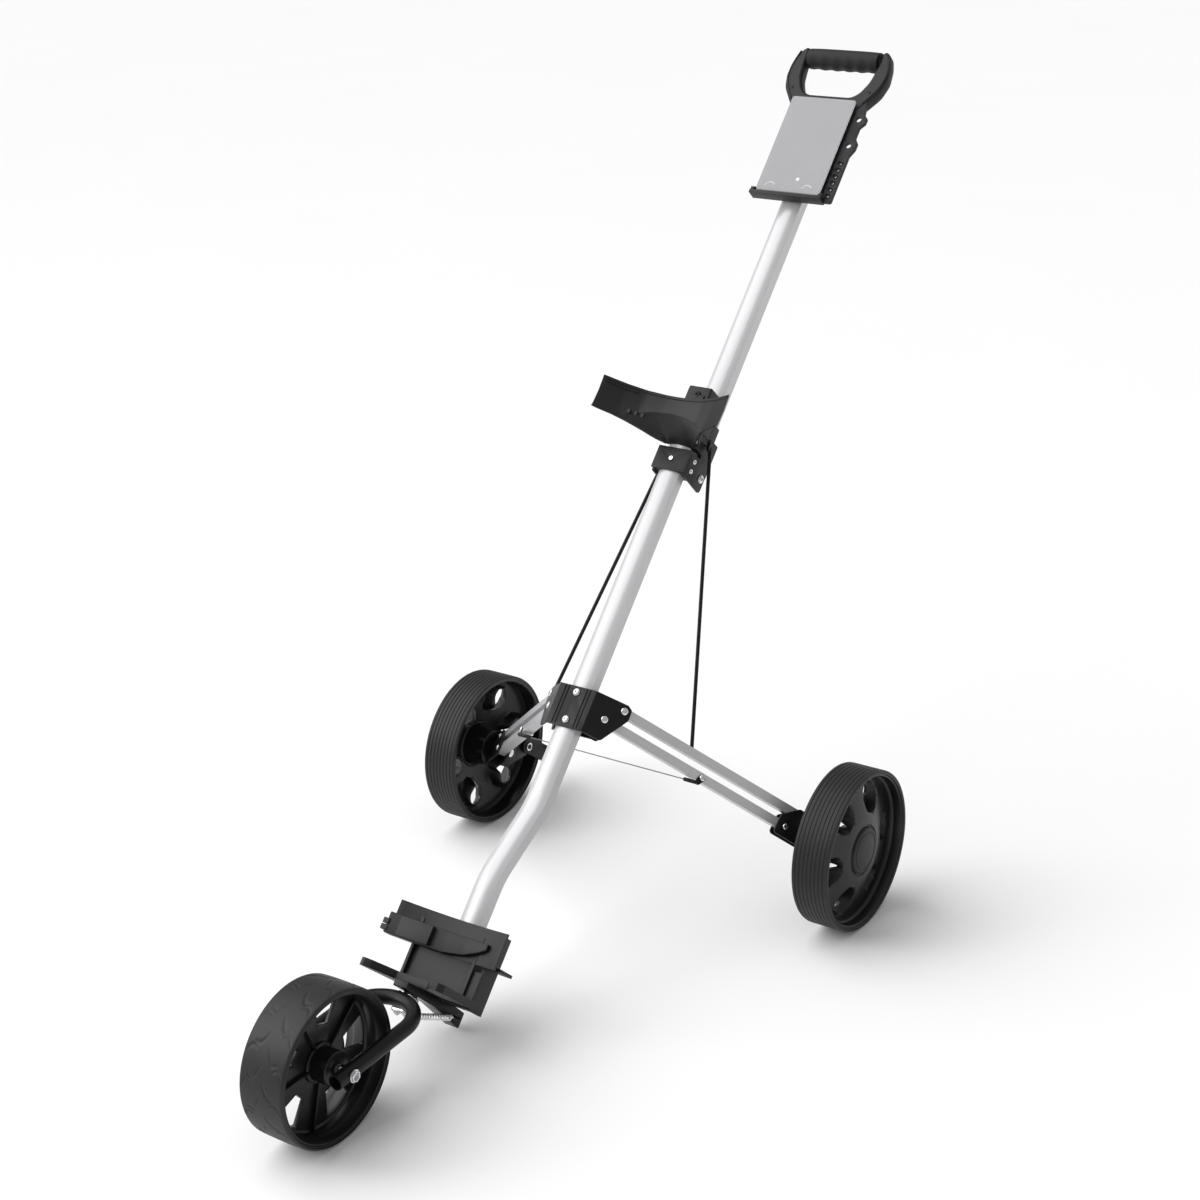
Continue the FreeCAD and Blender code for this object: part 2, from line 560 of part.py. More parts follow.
def leg_bar(label, frame, outer_gap, *extra):
    """One square tube of a leg, drilled for a pivot at each end."""
    outer = block(("-bar_tail", "-bar_wide / 2", f"{BAR_FRONT} - bar_wide"),
                  ("leg_length + bar_tail", "bar_wide / 2", BAR_FRONT), frame)
    inner = block(("-bar_tail - 5", "-bar_wide / 2 + bar_wall", f"{BAR_FRONT} - bar_wide + bar_wall"),
                  ("leg_length + bar_tail + 5", "bar_wide / 2 - bar_wall", f"{BAR_FRONT} - bar_wall"), frame)
    drilled = [("leg_bolt_radius + running_gap", 0), (f"leg_bolt_radius + {outer_gap}", "leg_length"), *extra]
    holes = [round_bar(radius, (along, 0, -40), (along, 0, 20), frame) for radius, along in drilled]
    return keep(label, cut(outer, inner, *holes))


upper_bar = leg_bar("right_upper_bar", UPPER_LEG, "running_gap")
lower_bar = leg_bar("right_lower_bar", LEG, 0.3, (2, "wire_along"))


def wheel_bracket():
    """The folded steel clevis at the end of a leg, with the welded boss that holds the axle."""
    outline = (("leg_length - 12", -14), ("leg_length + 62", -14), ("leg_length + 66", 10),
               ("leg_length + 34", 30), ("leg_length + 8", 30), ("leg_length - 12", 12))
    plates = [padded(outline, "plate_thick", LEG * moved(0, 0, depth), "wing_corner")
              for depth in (f"{BAR_FRONT} + 0.3", f"{BAR_FRONT} - bar_wide - 0.3 - plate_thick")]
    boss = round_bar("boss_radius", ("rear_inner_x - 27", 0, "rear_radius"),
                     ("rear_inner_x - 4", 0, "rear_radius"), AXLE)
    bore = round_bar("axle_radius", ("rear_inner_x - 40", 0, "rear_radius"),
                     ("rear_inner_x + 10", 0, "rear_radius"), AXLE)
    pivot_holes = [round_bar("leg_bolt_radius", (along, 0, -40), (along, 0, 20), frame)
                   for frame, along in ((LEG, "leg_length"), (UPPER_LEG, "leg_length"))]
    web = block(("leg_length + 44", -13, f"{BAR_FRONT} - bar_wide - 0.3 - plate_thick"),
                ("leg_length + 62", 10, f"{BAR_FRONT} + 0.3 + plate_thick"), LEG)
    return keep("right_wheel_bracket", cut(fused(*plates, web, boss), bore, *pivot_holes))


bracket = wheel_bracket()
bracket_bolts = keep("right_bracket_bolts", grouped(*[
    bolt(frame, ("leg_length", 0, f"{BAR_FRONT} + 0.3 + plate_thick"), "bar_wide + 0.6 + 2 * plate_thick",
         head=4, tall=2) for frame in (LEG, UPPER_LEG)]))

# ---- rear wheels ----------------------------------------------------------------------------------------------

TREAD_FOOT = "rear_radius - tread_thick"
BARREL_FOOT = "rear_radius - tread_thick - barrel_thick"
tyre = keep("right_tyre", revolved(
    ((TREAD_FOOT, "-tread_inset"), ("rear_radius - 2", "-tread_inset"), ("rear_radius", "3 - tread_inset"),
     ("rear_radius", "rear_wide - 3"), ("rear_radius - 2", "rear_wide"), (TREAD_FOOT, "rear_wide")), WHEEL))
rim = keep("right_rim", revolved(
    (("bush_radius", 3), ("hub_radius", 3), ("hub_radius", 12), (60, 16), (BARREL_FOOT, 16),
     (BARREL_FOOT, "1 - tread_inset"), (TREAD_FOOT, "1 - tread_inset"), (TREAD_FOOT, "rear_wide - 1"), (BARREL_FOOT, "rear_wide - 1"),
     (BARREL_FOOT, "16 + disc_thick"), (62, "16 + disc_thick"), (36, 34), ("hub_radius + 2", 38),
     ("cap_radius", 38), ("cap_radius", 33), ("bush_radius", 33)), WHEEL,
    [windows("window_radius", "window_circle", "windows", 30)]))
cap = keep("right_hub_cap", revolved(
    ((0, 38), (14, 38), (14, 35), (17, 35), (17, 38), ("cap_radius", 38), ("cap_radius - 2", "38 + cap_thick"),
     (4, "38 + cap_thick + 1"), (0, "38 + cap_thick + 1")), WHEEL))
bush = keep("right_wheel_bush", revolved(
    (("axle_radius + running_gap", 2), ("bush_radius", 2), ("bush_radius", 33), ("axle_radius + running_gap", 33)),
    WHEEL))
axle = keep("right_axle", fused(
    round_bar("axle_radius", ("rear_inner_x - 29", 0, "rear_radius"), ("rear_inner_x + 33.3", 0, "rear_radius"),
              AXLE),
    round_bar("axle_radius + 2", ("rear_inner_x + 33.3", 0, "rear_radius"),
              ("rear_inner_x + 36", 0, "rear_radius"), AXLE)))

# ---- stays and the wire that limits the legs' spread ----------------------------------------------------------

stay_top = (TUBE * moved(29, "stay_pin_behind", "stay_pin_up")).Base
STAY_SWING = FreeCAD.Vector(0.67, -0.5368, 0.5128).normalize()


def stay_rod():
    """A straight steel rod with an eye at the top and a hooked foot through the upper bar."""
    rear_foot = (UPPER_LEG * moved("stay_along", 0, f"{BAR_FRONT} - bar_wide - stay_radius - 1")).Base
    shaft = doc.addObject("Part::Cylinder", "Shaft")
    shaft.setExpression("Radius", linked("stay_radius"))
    shaft.Height = (stay_top - rear_foot).Length
    shaft.Placement = FreeCAD.Placement(rear_foot, FreeCAD.Rotation(Z_AXIS, stay_top - rear_foot))
    foot_pin = doc.addObject("Part::Cylinder", "FootPin")
    foot_pin.Radius = 5
    foot_pin.Height = 4
    foot_pin.Placement = FreeCAD.Placement(rear_foot - STAY_SWING * 2, FreeCAD.Rotation(Z_AXIS, STAY_SWING))
    eye = round_bar(6.5, (27, "stay_pin_behind", "stay_pin_up"), (31, "stay_pin_behind", "stay_pin_up"), TUBE)
    return keep("right_stay_rod", fused(shaft, foot_pin, eye))


stay = stay_rod()
keep("stay_pins", grouped(*[
    round_bar(3, (f"{side} * (tube_wide / 2 + yoke_plate)", "stay_pin_behind", "stay_pin_up"),
              (f"{side} * 26.4", "stay_pin_behind", "stay_pin_up"), TUBE) for side in (1, -1)]))
WIRE_END = ("wire_along - 4", "-bar_wide / 2 - 3.2", f"{BAR_FRONT} + 3")
FERRULE_LENGTH = 21
wire_end = (LEG * moved(*WIRE_END)).Base


def spread_wire():
    """Half of the wire rope, from behind the tube to its ferrule at the lower bar."""
    wire = doc.addObject("Part::Cylinder", "Wire")
    wire.setExpression("Radius", linked("wire_radius"))
    middle = FreeCAD.Vector(0, wire_end.y, wire_end.z)
    wire.Height = wire_end.x - FERRULE_LENGTH
    wire.Placement = FreeCAD.Placement(middle, FreeCAD.Rotation(Z_AXIS, X_AXIS))
    return keep("right_spread_wire", wire)


wire = spread_wire()


def wire_anchor():
    """The bolt through the lower bar, its hanging eye and the ferrule crimped to the wire rope."""
    through = round_bar(2, ("wire_along", 0, f"{BAR_BACK} - 5"), ("wire_along", 0, BAR_FRONT), LEG)
    nut = round_bar(4, ("wire_along", 0, f"{BAR_BACK} - 5"), ("wire_along", 0, BAR_BACK), LEG)
    eye = block(("wire_along - 6", "-bar_wide / 2 - 5.5", BAR_FRONT), ("wire_along + 3", 3, f"{BAR_FRONT} + 1.2"),
                LEG)
    head = round_bar(4.2, ("wire_along", 0, BAR_FRONT), ("wire_along", 0, f"{BAR_FRONT} + 3.4"), LEG)
    ferrule = doc.addObject("Part::Cylinder", "Ferrule")
    ferrule.Radius = 2.6
    ferrule.Height = FERRULE_LENGTH
    ferrule.Placement = FreeCAD.Placement(wire_end - X_AXIS * FERRULE_LENGTH, FreeCAD.Rotation(Z_AXIS, X_AXIS))
    return keep("right_wire_anchor", fused(through, nut, eye, head, ferrule))


anchor = wire_anchor()
for right_part in (upper_bar, lower_bar, bracket, bracket_bolts, tyre, rim, cap, bush, axle, stay, wire,
                   anchor):
    mirrored(right_part.Label.replace("right_", "left_"), right_part)

# ---- front fork and wheel -------------------------------------------------------------------------------------


def fork_core(radius):
    """A solid rod of the given radius along the fork's path: a flat U bent round the wheel."""
    half, nose, bend = number("fork_half"), number("fork_nose"), number("fork_bend_behind")
    straight = [Part.makeLine(FreeCAD.Vector(half, -nose, 0), FreeCAD.Vector(half, bend, 0)),
                Part.Arc(FreeCAD.Vector(half, bend, 0), FreeCAD.Vector(0, bend + half, 0),
                         FreeCAD.Vector(-half, bend, 0)).toShape(),
                Part.makeLine(FreeCAD.Vector(-half, bend, 0), FreeCAD.Vector(-half, -nose, 0))]
    profile = Part.Wire(Part.makeCircle(number(radius), FreeCAD.Vector(half, -nose, 0), Y_AXIS))
    return feature(Part.Wire(straight).makePipeShell([profile], True, False), FORK)


keep("fork_tube", cut(fork_core("fork_tube_radius"), fork_core("fork_tube_radius - fork_tube_wall"),
                      round_bar("front_axle_radius", (-70, 0, 0), (70, 0, 0), FORK)))


def fork_lugs():
    """The bright steel lug plates between the fork and its pin, with the spring's anchor."""
    outline = ((-118, -721), (-94, -724), (-94, -742), (-104, -750), (-118, -746))
    plates = [padded(outline, 2.5, TUBE * moved(x, 0, 0) * SIDE, 1.5) for x in (6, -8.5)]
    web = block((-8.5, -118, -745), (8.5, -109, -742), TUBE)
    anchor = round_bar(2, (8.5, -104, -744), (24, -104, -744), TUBE)
    hole = round_bar("fork_pin_radius", (-12, "-fork_pin_ahead", "-fork_pin_down"),
                     (12, "-fork_pin_ahead", "-fork_pin_down"), TUBE)
    return keep("fork_lugs", cut(fused(*plates, web, anchor), hole, fork_core("fork_tube_radius")))


fork_lugs()
keep("fork_pin", fused(
    round_bar("fork_pin_radius", (-8.5, "-fork_pin_ahead", "-fork_pin_down"),
              (8.5, "-fork_pin_ahead", "-fork_pin_down"), TUBE),
    *[round_bar(6, (f"{side} * 8.5", "-fork_pin_ahead", "-fork_pin_down"),
                (f"{side} * 11", "-fork_pin_ahead", "-fork_pin_down"), TUBE) for side in (1, -1)]))
keep("fork_spring", cut(round_bar(4.4, (18, -94, -741), (18, -26, -724), TUBE),
                        round_bar(2.8, (18, -98, -742), (18, -22, -723), TUBE)))
FRONT_TREAD_FOOT = "front_radius - tread_thick"
FRONT_BARREL_FOOT = "front_radius - tread_thick - barrel_thick"
keep("front_tyre", revolved(
    ((FRONT_TREAD_FOOT, 0), ("front_radius - 3", 0), ("front_radius - 0.5", 5), ("front_radius", 12),
     ("front_radius", "front_wide - 12"), ("front_radius - 0.5", "front_wide - 5"),
     ("front_radius - 3", "front_wide"), (FRONT_TREAD_FOOT, "front_wide")), FRONT))
keep("front_rim", revolved(
    (("front_axle_radius + 3", 3), ("front_hub_radius", 3), ("front_hub_radius", "front_wide / 2 - disc_thick / 2"),
     (FRONT_BARREL_FOOT, "front_wide / 2 - disc_thick / 2"), (FRONT_BARREL_FOOT, 1), (FRONT_TREAD_FOOT, 1),
     (FRONT_TREAD_FOOT, "front_wide - 1"), (FRONT_BARREL_FOOT, "front_wide - 1"),
     (FRONT_BARREL_FOOT, "front_wide / 2 + disc_thick / 2"),
     ("front_hub_radius", "front_wide / 2 + disc_thick / 2"), ("front_hub_radius", "front_wide - 3"),
     ("front_axle_radius + 3", "front_wide - 3")), FRONT,
    [windows("window_radius + 1", "front_window_circle", "front_windows", 90)]))
keep("front_wheel_bush", revolved(
    (("front_axle_radius + running_gap", 2), ("front_axle_radius + 3", 2), ("front_axle_radius + 3",
                                                                        "front_wide - 2"),
     ("front_axle_radius + running_gap", "front_wide - 2")), FRONT))
keep("front_axle", fused(
    round_bar("front_axle_radius", (-57, 0, 0), (57, 0, 0), FORK),
    *[round_bar(8, (f"{side} * (fork_half + fork_tube_radius)", 0, 0),
                (f"{side} * (fork_half + fork_tube_radius + 4)", 0, 0), FORK) for side in (1, -1)]))
keep("front_axle_spacers", grouped(*[
    cut(round_bar(7.5, (f"{side} * (front_wide / 2 - 1)", 0, 0), (f"{side} * (fork_half - fork_tube_radius)", 0, 0),
                  FORK),
        round_bar("front_axle_radius", (-70, 0, 0), (70, 0, 0), FORK)) for side in (1, -1)]))

# ---- parking brake, on the left wheel's bracket -----------------------------------------------------------------


BRAKE_PIVOT = ("brake_turn_y", "brake_turn_z - rear_radius")
LEVER_START, LEVER_THICK = 10.5, 3


def brake_plate():
    """The steel plate behind the wheel that carries the brake pedal's pivot."""
    outline = ((-12, -4), (-12, -16), (14, -34), (62, -36), (74, -24), (74, -10), (62, -2), (19, 19), (2, 19))
    plate = padded(outline, "brake_plate", LEFT * moved(5, 0, 0) * SIDE, 3)
    bore = round_bar("boss_radius", (-20, 0, 0), (60, 0, 0), LEFT)
    pin = round_bar("brake_pin_radius", ("5 + brake_plate", *BRAKE_PIVOT), (LEVER_START + 7, *BRAKE_PIVOT), LEFT)
    return keep("brake_plate", fused(cut(plate, bore), pin))


def brake_pedal():
    """The foot lever: a plate on the brake pivot, a shoe across the tread and a tab for the foot."""
    outline = ((50, -14), (50, -26), (62, -34), (96, -62), (112, -63), (132, -56), (134, -48), (112, -44),
               (70, -10), (58, -8))
    lever = padded(outline, LEVER_THICK, LEFT * moved(LEVER_START, 0, 0) * SIDE, 3)
    hub = round_bar("2 * brake_pin_radius", ("5.3 + brake_plate", *BRAKE_PIVOT), (LEVER_START, *BRAKE_PIVOT), LEFT)
    shoe = round_bar("shoe_radius", (-16, "shoe_behind", "-shoe_down"),
                     (LEVER_START, "shoe_behind", "-shoe_down"), LEFT)
    tab = block((LEVER_START, 116, -52), (LEVER_START + 24, 134, -48), LEFT)
    hole = round_bar("brake_pin_radius + running_gap", (-20, *BRAKE_PIVOT), (60, *BRAKE_PIVOT), LEFT)
    return keep("brake_pedal", cut(fused(lever, hub, shoe, tab), hole))


brake_plate()
brake_pedal()
CLIP_START = LEVER_START + LEVER_THICK + 0.3
keep("brake_clip", cut(
    round_bar(6, (CLIP_START, *BRAKE_PIVOT), (CLIP_START + 2.7, *BRAKE_PIVOT), LEFT),
    round_bar("brake_pin_radius", (-20, *BRAKE_PIVOT), (60, *BRAKE_PIVOT), LEFT)))


def write_parts():
    """Check every object of the document, then write each sub-part's shape to its own file."""
    doc.recompute()
    broken = [thing.Label for thing in doc.Objects if {"Invalid", "Error"} & set(thing.State)]
    if broken:
        raise RuntimeError(f"objects that failed: {broken}")
    for thing in SUBPARTS:
        if thing.Shape.isNull() or not thing.Shape.isValid():
            raise RuntimeError(f"{thing.Label} has no valid shape")
    os.makedirs("parts", exist_ok=True)
    for thing in SUBPARTS:
        thing.Shape.exportStep(f"parts/{thing.Label}.step")


write_parts()
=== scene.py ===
import json
import math

import bmesh
import bpy
import numpy as np
from mathutils import Matrix, Vector


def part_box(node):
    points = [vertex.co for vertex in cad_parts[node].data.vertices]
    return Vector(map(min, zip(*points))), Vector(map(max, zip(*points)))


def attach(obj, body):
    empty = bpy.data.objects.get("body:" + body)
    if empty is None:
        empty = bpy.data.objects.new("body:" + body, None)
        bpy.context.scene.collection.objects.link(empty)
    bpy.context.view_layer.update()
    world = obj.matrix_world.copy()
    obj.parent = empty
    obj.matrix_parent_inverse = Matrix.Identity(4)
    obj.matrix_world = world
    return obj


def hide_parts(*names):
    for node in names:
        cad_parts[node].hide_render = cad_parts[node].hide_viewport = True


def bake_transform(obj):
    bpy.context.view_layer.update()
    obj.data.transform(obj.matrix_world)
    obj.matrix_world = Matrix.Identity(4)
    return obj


bl_info = {
    "name": "Golf push trolley",
    "version": (1, 0, 0),
    "blender": (4, 5, 0),
    "location": "3D View > Sidebar > Trolley",
    "description": "Builds the look of a folding three-wheel golf trolley around its packed frame",
    "category": "Object",
}

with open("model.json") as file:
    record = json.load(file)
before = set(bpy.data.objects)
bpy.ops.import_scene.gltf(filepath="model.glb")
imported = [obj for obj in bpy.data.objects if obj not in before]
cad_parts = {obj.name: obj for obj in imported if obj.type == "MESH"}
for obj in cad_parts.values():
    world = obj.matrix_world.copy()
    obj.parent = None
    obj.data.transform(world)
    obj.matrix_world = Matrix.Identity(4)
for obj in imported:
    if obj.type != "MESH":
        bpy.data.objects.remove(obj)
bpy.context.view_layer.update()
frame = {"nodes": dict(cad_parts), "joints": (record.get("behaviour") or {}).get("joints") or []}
JOINTS = {joint["name"]: joint for joint in frame["joints"]}
TO_METRES = Matrix.Scale(0.001, 4)
MIRROR = Matrix.Diagonal((-1, 1, 1, 1))
IN_PLACE = Matrix.Identity(4)
SIDES = (("right", IN_PLACE), ("left", MIRROR))


# ---- local frames, in millimetres -------------------------------------------

def shift(x, y, z):
    return Matrix.Translation((x, y, z))


def spin(axis, degrees):
    return Matrix.Rotation(math.radians(degrees), 4, axis)


def joint_point(name):
    return Vector(JOINTS[name]["pos_m"]) * 1000


TUBE_LEAN = -45
FOLD_PIN = Vector((0, 30, 50))
LEAN = spin("X", TUBE_LEAN)
TUBE = Matrix.Translation(joint_point("handle_fold") - LEAN @ FOLD_PIN) @ LEAN
FACING = spin("X", 90)
LEG_SWEEP, LEG_SLOPE = 46.9, -5.7
UPPER_PIVOT, LOWER_PIVOT = (43.8, -286.1, 0), (23.2, -306.6, 0)
WING = TUBE @ shift(28, -15, 0) @ spin("Z", LEG_SWEEP) @ spin("X", 90)
LEG = WING @ shift(*LOWER_PIVOT) @ spin("Z", LEG_SLOPE)
UPPER_LEG = WING @ shift(*UPPER_PIVOT) @ spin("Z", LEG_SLOPE)
AXLE_Y = joint_point("right_wheel_spin").y
REAR_RADIUS = joint_point("right_wheel_spin").z
REAR_OUT = 44
WHEEL = shift(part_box("right_tyre")[1].x * 1000 - REAR_OUT, AXLE_Y, REAR_RADIUS) @ spin("Y", 90)
FRONT_HUB = joint_point("front_wheel_spin")
FRONT_WIDE = 66
FRONT = shift(-FRONT_WIDE / 2, FRONT_HUB.y, FRONT_HUB.z) @ spin("Y", 90)
FORK = shift(0, FRONT_HUB.y, FRONT_HUB.z)


# ---- settings ---------------------------------------------------------------

def length(name, description, default):
    return bpy.props.FloatProperty(name=name, description=description, default=default, min=0, unit="LENGTH")


def colour(name, description, default):
    return bpy.props.FloatVectorProperty(name=name, description=description, default=default,
                                         size=3, min=0, max=1, subtype="COLOR")


def number(name, description, default, least):
    return bpy.props.IntProperty(name=name, description=description, default=default, min=least)


class TrolleySizes(bpy.types.PropertyGroup):
    groove_depth: length("Groove depth", "How deep the rear tyres' grooves are", 0.0009)
    leaf_depth: length("Leaf depth", "How deep the front tyre's leaf grooves are", 0.0009)
    wire_radius: length("Wire radius", "Radius of the wire rope between the legs", 0.0009)
    spring_wire: length("Spring wire", "Radius of the fork spring's wire", 0.0010)
    edge: length("Edge rounding", "Rounding along the edges of moulded and pressed parts", 0.0006)
    finger_wave: length("Finger wave", "How deep the waves under the grip are", 0.0016)
    grooves: number("Grooves", "Number of grooves round each rear tyre", 8, 2)
    spring_turns: number("Spring turns", "Turns of the fork spring", 12, 3)


class TrolleyColours(bpy.types.PropertyGroup):
    tube: colour("Tube", "Silver-white coat of the main tubes", (0.56, 0.56, 0.57))
    bars: colour("Leg bars", "Satin aluminium of the leg bars", (0.62, 0.62, 0.63))
    plastic: colour("Moulded plastic", "Black plastic of the handle and bag supports", (0.008, 0.008, 0.009))
    steel: colour("Coated steel", "Black coat of the plates and the fork", (0.006, 0.006, 0.007))
    tread: colour("Tread", "Dark grey of the tyres", (0.013, 0.013, 0.014))
    rim: colour("Rim", "Black of the wheel mouldings", (0.008, 0.008, 0.009))
    bright: colour("Bright steel", "Bolts, spring and other plated parts", (0.72, 0.72, 0.74))
    card: colour("Card cover", "Tint of the clear scorecard cover", (0.36, 0.36, 0.37))
    floor: colour("Floor", "The pale studio floor", (0.93, 0.93, 0.93))


def sizes():
    return bpy.context.scene.trolley_sizes


def colours():
    return bpy.context.scene.trolley_colours


# ---- shader kit -------------------------------------------------------------

class Value:
    """A node socket that joins arithmetic, adding the Math nodes it needs."""

    def __init__(self, shader, socket):
        self.shader, self.socket = shader, socket

    def combine(self, operation, first, second):
        node = self.shader.add("ShaderNodeMath", {"operation": operation}, {0: first, 1: second})
        return node.value()

    def __add__(self, other):
        return self.combine("ADD", self, other)

    def __sub__(self, other):
        return self.combine("SUBTRACT", self, other)

    def __rsub__(self, other):
        return self.combine("SUBTRACT", other, self)

    def __mul__(self, other):
        return self.combine("MULTIPLY", self, other)

    __radd__ = __add__
    __rmul__ = __mul__


class Step:
    """One node of a shader, with its outputs as values."""

    def __init__(self, shader, node):
        self.shader, self.node = shader, node

    def value(self, name=0):
        return Value(self.shader, self.node.outputs[name])


class Shader:
    """A material and its principled surface."""

    def __init__(self, name, base, roughness, metallic=0.0, **fixed):
        self.material = bpy.data.materials.new(name)
        self.material.use_nodes = True
        self.tree = self.material.node_tree
        self.surface = self.tree.nodes["Principled BSDF"]
        for socket, value in (("Base Color", (*base, 1)), ("Roughness", roughness), ("Metallic", metallic)):
            self.surface.inputs[socket].default_value = value
        for socket, value in fixed.items():
            self.surface.inputs[socket.replace("_", " ")].default_value = value

    def add(self, kind, settings=None, inputs=None):
        node = self.tree.nodes.new(kind)
        for name, value in (settings or {}).items():
            setattr(node, name, value)
        for name, value in (inputs or {}).items():
            if isinstance(value, Value):
                self.tree.links.new(value.socket, node.inputs[name])
            else:
                node.inputs[name].default_value = value
        return Step(self, node)

    def place(self, scale=(1, 1, 1)):
        """The point on the piece, in metres, stretched by scale."""
        where = self.add("ShaderNodeTexCoord").value("Object")
        return self.add("ShaderNodeMapping", inputs={"Vector": where, "Scale": scale}).value()

    def noise(self, scale, detail, place=None):
        where = place or self.place()
        return self.add("ShaderNodeTexNoise", inputs={"Vector": where, "Scale": scale, "Detail": detail,
                                                      "Roughness": 0.55}).value("Fac")

    def ramp(self, amount, *stops):
        """A grey ramp through (position, level) stops."""
        step = self.add("ShaderNodeValToRGB", inputs={"Fac": amount})
        elements = step.node.color_ramp.elements
        while len(elements) < len(stops):
            elements.new(0.5)
        for element, (position, level) in zip(elements, stops):
            element.position = position
            element.color = (level, level, level, 1)
        return step.value("Color")

    def mix(self, amount, first, second):
        """A blend of two colours, each a value or a plain colour."""
        first, second = [shade if isinstance(shade, Value) else (*shade, 1) for shade in (first, second)]
        return self.add("ShaderNodeMix", {"data_type": "RGBA"}, {0: amount, 6: first, 7: second}).value(2)

    def feed(self, socket, value):
        self.tree.links.new(value.socket, self.surface.inputs[socket])

    def bump(self, height, distance):
        made = self.add("ShaderNodeBump", inputs={"Height": height, "Distance": distance})
        self.feed("Normal", made.value("Normal"))


def shaded(base, factor):
    return tuple(min(1.0, channel * factor) for channel in base)


def tube_coat():
    base = colours().tube
    coat = Shader("tube_coat", base, 0.3, 0.2, Coat_Weight=0.3, Coat_Roughness=0.15)
    cloud = coat.noise(14, 2)
    haze = coat.noise(5, 1)
    coat.feed("Base Color", coat.mix(cloud, shaded(base, 0.96), shaded(base, 1.04)))
    coat.feed("Roughness", 0.27 + haze * 0.06)
    return coat.material


def bar_metal():
    base = colours().bars
    metal = Shader("satin_bar", base, 0.38, 0.85)
    grain = metal.noise(90, 3, metal.place((1, 24, 24)))
    blotch = metal.noise(22, 2)
    metal.feed("Base Color", metal.mix(grain * 0.6 + blotch * 0.4, shaded(base, 0.84), shaded(base, 1.12)))
    metal.feed("Roughness", 0.3 + grain * 0.2)
    metal.bump(grain, 0.00004)
    return metal.material


def moulded(name, base, roughness, grain_scale, grain_depth, worn=2.6):
    """Black moulded plastic: fine grain, faint flow marks and specks of dust."""
    plastic = Shader(name, base, roughness, Specular_IOR_Level=0.32)
    grain = plastic.noise(grain_scale, 4)
    flow = plastic.noise(9, 2, plastic.place((1, 1, 0.35)))
    dust = plastic.ramp(plastic.noise(60, 5), (0.55, 0.0), (0.8, 1.0))
    body = plastic.mix(flow, shaded(base, 0.75), shaded(base, 1.35))
    plastic.feed("Base Color", plastic.mix(dust * 0.25, body, shaded(base, worn)))
    plastic.feed("Roughness", roughness - 0.08 + grain * 0.1 + flow * 0.08)
    plastic.bump(grain, grain_depth)
    return plastic.material


def coated_steel():
    base = colours().steel
    coat = Shader("coated_steel", base, 0.34, Specular_IOR_Level=0.22)
    peel = coat.noise(420, 2)
    smudge = coat.noise(30, 3)
    coat.feed("Base Color", coat.mix(smudge, shaded(base, 0.7), shaded(base, 1.4)))
    coat.feed("Roughness", 0.28 + smudge * 0.14)
    coat.bump(peel, 0.00006)
    return coat.material


def bright_steel(name, roughness, streak):
    base = colours().bright
    metal = Shader(name, base, roughness, 1.0)
    lines = metal.noise(260, 2, metal.place(streak))
    haze = metal.noise(80, 2)
    metal.feed("Base Color", metal.mix(haze, shaded(base, 0.78), shaded(base, 1.15)))
    metal.feed("Roughness", roughness - 0.06 + lines * 0.12)
    metal.bump(lines, 0.00003)
    return metal.material


def tyre_tread():
    base = colours().tread
    rubber = Shader("tyre_tread", base, 0.5, Specular_IOR_Level=0.35)
    fine = rubber.noise(700, 3)
    broad = rubber.noise(16, 3)
    dust = rubber.ramp(rubber.noise(45, 5), (0.5, 0.0), (0.75, 1.0))
    body = rubber.mix(broad, shaded(base, 0.75), shaded(base, 1.3))
    rubber.feed("Base Color", rubber.mix(dust * 0.2, body, shaded(base, 2.2)))
    rubber.feed("Roughness", 0.4 + broad * 0.16 + fine * 0.06)
    rubber.bump(fine, 0.00005)
    return rubber.material


def wire_strands():
    base = shaded(colours().bright, 0.35)
    rope = Shader("wire_strands", base, 0.35, 0.9)
    twist = rope.add("ShaderNodeTexWave", {"wave_type": "BANDS", "bands_direction": "DIAGONAL"},
                     {"Vector": rope.place(), "Scale": 300.0, "Distortion": 0.4}).value("Fac")
    rope.feed("Base Color", rope.mix(twist, shaded(base, 0.35), shaded(base, 1.5)))
    rope.bump(twist, 0.00025)
    return rope.material


def clear_card():
    base = colours().card
    card = Shader("clear_card", base, 0.16, IOR=1.49, Specular_IOR_Level=0.6)
    haze = card.noise(35, 3)
    scuff = card.ramp(card.noise(190, 4, card.place((1, 0.15, 0.15))), (0.62, 0.0), (0.78, 1.0))
    card.feed("Base Color", card.mix(haze, shaded(base, 0.92), shaded(base, 1.08)))
    card.feed("Roughness", 0.12 + scuff * 0.15 + haze * 0.05)
    card.feed("Alpha", 0.9 - haze * 0.08)
    card.bump(scuff, 0.00003)
    return card.material


def clear_edge_painted_highlight():
    # Painted highlight: the clear cover's rim, dot and arcs are coloured near-white, varied by noise, where the
    # clear edges catch the light.
    edge = Shader("clear_edge_painted_highlight", (0.93, 0.93, 0.94), 0.18, IOR=1.49)
    painted_glint = edge.noise(120, 2)
    edge.feed("Base Color", edge.mix(painted_glint, (0.84, 0.84, 0.86), (0.99, 0.99, 0.99)))
    edge.feed("Roughness", 0.14 + painted_glint * 0.1)
    return edge.material


def studio_floor():
    base = colours().floor
    floor = Shader("studio_floor", base, 0.7, Specular_IOR_Level=0.2)
    tone = floor.noise(2.2, 2)
    floor.feed("Base Color", floor.mix(tone, shaded(base, 0.99), shaded(base, 1.01)))
    return floor.material


FINISHES = {}


